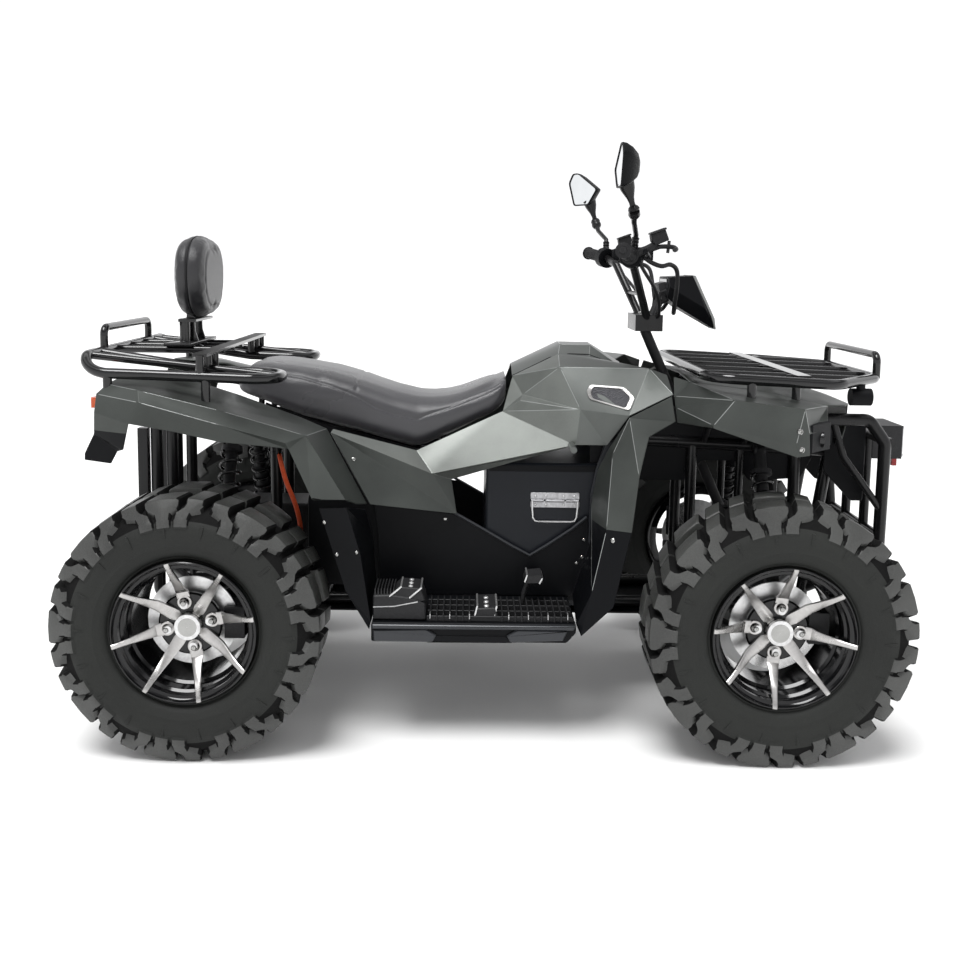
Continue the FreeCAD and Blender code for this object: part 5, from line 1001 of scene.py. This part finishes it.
def steps_and_pedal():
    """Passenger steps with teeth, wires and studs, and the brake pedal, which is on the right only."""
    base, bright, pedal = Build(), Build(), Build()
    pair(base, [(429, 311.5), (429, 372), (470, 374), (524, 366), (556, 352), (559, 311.5)], 342, 442, 5, 3)
    pair(base, [(466, 366), (494, 392), (500, 392), (545, 389), (556, 358), (520, 352)], 352, 438, 3, 2)
    for k in range(7):
        x = 432 + k * 7.5
        pair(base, [(x, 370), (x + 0.8, 388), (x + 3.6, 388), (x + 4.4, 370)], 350, 440, 1, 0.7)
    for sign in (1, -1):
        for x0, z0, x1, z1 in ((469, 369, 497, 393.5), (518, 366, 546, 391)):
            bright.tube(route(sign, (x0, 440, z0), (x1, 440, z1), (x1, 356, z1)), 0.0024, 8)
        bright.tube(route(sign, (430, 441, 343), (480, 441, 345), (538, 441, 357)), 0.0018, 8)
        for y in (424, 396, 368):
            bolt(bright, at(520, sign * y, 391), Vector((-0.05, 0, 1)), 6.5, 3)
    made(base, "step_bodies", "cast", stands_for="passenger_steps")
    pedal.tube([at(x, PEDAL_Y - 38, z) for x, z in ((800, 312), (803, 340), (812, 368), (820, 378))], 0.006)
    for k in range(2):
        ring = rounded([(802, 374 + 2 * k), (808, 392 + 2 * k), (848, 396 - 12 * k), (850, 376)], 4)
        pedal.prism([at(p.x, PEDAL_Y - k * 6, p.y) for p in ring], Vector((0, -0.068 + k * 0.012, 0)))
    for x0, z0, x1, z1 in ((804, 378, 810, 394), (841, 374, 848, 386)):
        bright.tube([at(x0, PEDAL_Y - 68, z0), at(x1, PEDAL_Y - 69, z1), at(x1, PEDAL_Y, z1 + 1)], 0.0024, 8)
    made(pedal, "brake_pedal_pad", "cast", stands_for="brake_pedal")
    made(bright, "step_studs", "disc")


LAMP_Z, MARKER_Y = 764, 380 - 180 * 94 / 158


def lamps():
    shell, lens, marks = Build(), Build(), Build()
    for sign in (1, -1):
        for y, x in ((360, 1536), (408, 1512)):
            drum(shell, *route(sign, (x - 26, y, LAMP_Z), (x + 2, y, LAMP_Z)),
                 [(0, 8), (0.05, 16), (0.6, 21), (1.0, 22.5), (1.0, 19.5)], 28)
            drum(lens, *route(sign, (x - 6, y, LAMP_Z), (x + 4, y, LAMP_Z)),
                 [(0, 19), (0.7, 19), (0.9, 15), (1.0, 4)], 28)
        drum(marks, *route(sign, (1674, MARKER_Y, 853), (1678.5, MARKER_Y, 853)),
             [(0, 18), (0.5, 18), (0.9, 14), (1, 3)], 24)
    made(shell, "lamp_rings", "rack")
    made(lens, "lamp_lenses", "glass")
    made(marks, "marker_lenses", "glass")


# Bolts on the panels' sides by place and radius, and the outline of the vent
BOLTS = (
    (365, 677, 6), (310, 549, 5), (412, 512, 6), (388, 476, 5), (599, 514, 6), (962, 463, 4.5),
    (958, 417, 4.5), (944, 400, 4.5), (1013, 508, 6.5), (1440, 792, 8), (1447, 748, 8), (1000, 300, 5),
    (340, 470, 5))
VENT = ((956, 858), (965, 873), (1052, 868), (1078, 843), (1062, 812), (962, 838))
VENT_MIDDLE = Vector((1012, 846))
VENT_RINGS = ((1.0, 0.4), (0.985, 3.4), (0.82, 3.4), (0.80, 0.9))
COWL_EDGE = ((560, 568), (631, 527), (700, 488), (770, 447), (821, 420), (872, 452), (930, 492), (968, 524))
TANK_SEAM = ((771, 120), (800, 120), (835, 119), (871, 118), (923, 114), (975, 110), (1035, 104))


def trims():
    """Trims that sit on the panels: bolts, the cowls' edges, the vents and the seams of the tank."""
    panels = skin_tree(
        "side_panels front_fender_ rear_fender_ side_cowls front_aprons rear_aprons tank_cover nose_panel")
    bolts, edges, frames, mesh, lines = Build(), Build(), Build(), Build(), Build()
    for sign in (1, -1):
        for x, z, radius in BOLTS:
            found = on_side(panels, x, z, sign)
            if found:
                bolt(bolts, *found, radius, radius * 0.55)
        edges.tube([at(x, sign * 229.5, z) for x, z in COWL_EDGE], 0.0042, 8)
        rings = []
        for size, lift in VENT_RINGS:
            ring = []
            for corner in rounded(VENT, 7):
                q = VENT_MIDDLE + (corner - VENT_MIDDLE) * size
                found = on_side(panels, q.x, q.y, sign)
                ring.append(found[0] + found[1] * lift / 1000 if found else at(q.x, sign * 270, q.y))
            rings.append(ring)
        frames.rings(rings, False, False)
        centre, normal = on_side(panels, *VENT_MIDDLE, sign)
        count = len(rings[3])
        fan = [(0, i + 1, (i + 1) % count + 1) for i in range(count)]
        mesh.add([centre + normal * 0.0009] + rings[3], fan)
        found = [from_above(panels, x, sign * y) for x, y in TANK_SEAM]
        lines.tube([place - normal * 0.0006 for place, normal in filter(None, found)], 0.0024, 8)
    made(lines, "panel_seams", "rubber_soft", 40)
    made(bolts, "panel_bolts", "chrome")
    made(edges, "cowl_edges", "satin", 40)
    made(frames, "vent_frames", "machined")
    made(mesh, "vent_meshes", "mesh")


# The folds that get painted highlight lines: long and convex, of a middling angle in radians, and looking up
# and outward
FOLD_LENGTH, FOLD_LEAST, FOLD_MOST, FOLD_LOW = 0.06, 0.30, 1.3, 0.45


def crease_highlights():
    """Pale lines along the outward folds of the painted panels: painted highlights where the folds catch
    light.
    """
    line = Build()
    for name in matching("front_fender_ rear_fender_ nose_panel side_panels tank_cover front_aprons"):
        mesh = bmesh.new()
        mesh.from_mesh(NODES[name].data)
        bmesh.ops.remove_doubles(mesh, verts=mesh.verts, dist=0.00002)
        for edge in mesh.edges:
            if len(edge.link_faces) != 2 or edge.calc_length() < FOLD_LENGTH or not edge.is_convex:
                continue
            a, b = [v.co for v in edge.verts]
            way = (edge.link_faces[0].normal + edge.link_faces[1].normal).normalized()
            middle = (a + b) / 2
            if not FOLD_LEAST < edge.calc_face_angle(0) < FOLD_MOST:
                continue
            if way.z < 0.05 or way.y * middle.y < 0 or middle.z < FOLD_LOW:
                continue
            sink = way * 0.0009
            line.tube([a - sink * 1.6, a.lerp(b, 0.08) - sink, a.lerp(b, 0.92) - sink, b - sink * 1.6],
                      [0.0005, 0.0011, 0.0011, 0.0005], 6)
        mesh.free()
    made(line, "panel_crease_highlights", "crease_highlight", 60)


def liners():
    """Dark inner panels that close the view between the outer panels, partly as painted shade for the dark
    seen there, and the feet of the backrest.
    """
    inner, feet, blades = Build(), Build(), Build()
    for y, radius, outline in (
            (192, 6, [(238, 330), (238, 560), (296, 690), (330, 735), (452, 640), (452, 320)]),
            (146, 4, [(120, 690), (120, 806), (170, 786), (218, 768), (290, 746), (361, 729), (460, 702),
                      (523, 686), (548, 690), (548, 640), (361, 660)]),
            (196, 5, [(975, 560), (975, 800), (1090, 815), (1090, 700), (1030, 560)]),
            (212, 5, [(894, 292), (894, 430), (985, 430), (960, 300)]),
            (96, 10, [(1085, 600), (1085, 790), (1300, 806), (1560, 772), (1600, 690), (1560, 610),
                      (1420, 600), (1380, 655), (1290, 655), (1250, 600)]),
            (150, 6, [(1604, 640), (1604, 775), (1712, 775), (1712, 560), (1680, 560)])):
        pair(inner, outline, y, y + 5, radius, 1)
    pair(feet, [(-150, 938), (-124, 948), (-112, 985), (-110, 1052), (-90, 1052), (-88, 985), (-76, 948),
                (-50, 938)], 38, 46)
    pair(blades, [(974, 452), (976, 582), (989, 653), (1011, 722), (1046, 730), (1022, 650), (1006, 560),
                  (1006, 450)], 222, 231, 6, 3)
    # These dark sheets are partly painted shade between the outer panels
    made(inner, "inner_liners_and_shade", "dark")
    made(blades, "leg_blades", "satin")
    made(feet, "backrest_feet", "rack")


def fairlead():
    rollers, bolts = Build(), Build()
    for sign in (1, -1):
        drum(rollers, *route(sign, (1842, 58, 664), (1842, 58, 750)), [
            (0, 5), (0.01, 9), (0.08, 10), (0.1, 8.4), (0.9, 8.4), (0.92, 10), (0.99, 9), (1, 5)])
    clamp = skin_tree("handlebar")
    for x in (1132, 1166):
        for y in (-34, 34):
            found = from_above(clamp, x, y, 1120)
            if found and found[1].z > 0.7:
                bolt(bolts, *found, 6, 5)
    made(rollers, "fairlead_rollers", "steel")
    made(bolts, "clamp_bolts", "chrome", 30, "handlebar")


def motor_cable():
    """One orange cable by the motor, on the right, as a smooth bar."""
    curve = bpy.data.curves.new("motor_cable_line", "CURVE")
    curve.dimensions = "3D"
    line = curve.splines.new("NURBS")
    places = route(-1, (150, 118, 660), (168, 150, 600), (200, 168, 540), (214, 160, 470), (206, 128, 420),
                   (190, 90, 396))
    line.points.add(len(places) - 1)
    for spot, place in zip(line.points, places):
        spot.co = (*place, 1)
    line.order_u, line.use_endpoint_u, line.resolution_u = 3, True, 8
    holder = bpy.data.objects.new("motor_cable_line", curve)
    cable = Build()
    cable.tube([v.co.copy() for v in bpy.data.meshes.new_from_object(holder).vertices], 0.0065)
    bpy.data.objects.remove(holder)
    made(cable, "motor_cable", "orange", 40)


for make in (
        camera, stage, dress_frame, wheels, seat, backrest, shocks, mirrors, grips, pod, battery, footboards,
        steps_and_pedal, lamps, trims, crease_highlights, liners, fairlead, motor_cable):
    make()

bpy.context.scene.view_settings.view_transform = "Standard"
bpy.context.scene.view_settings.look = "None"
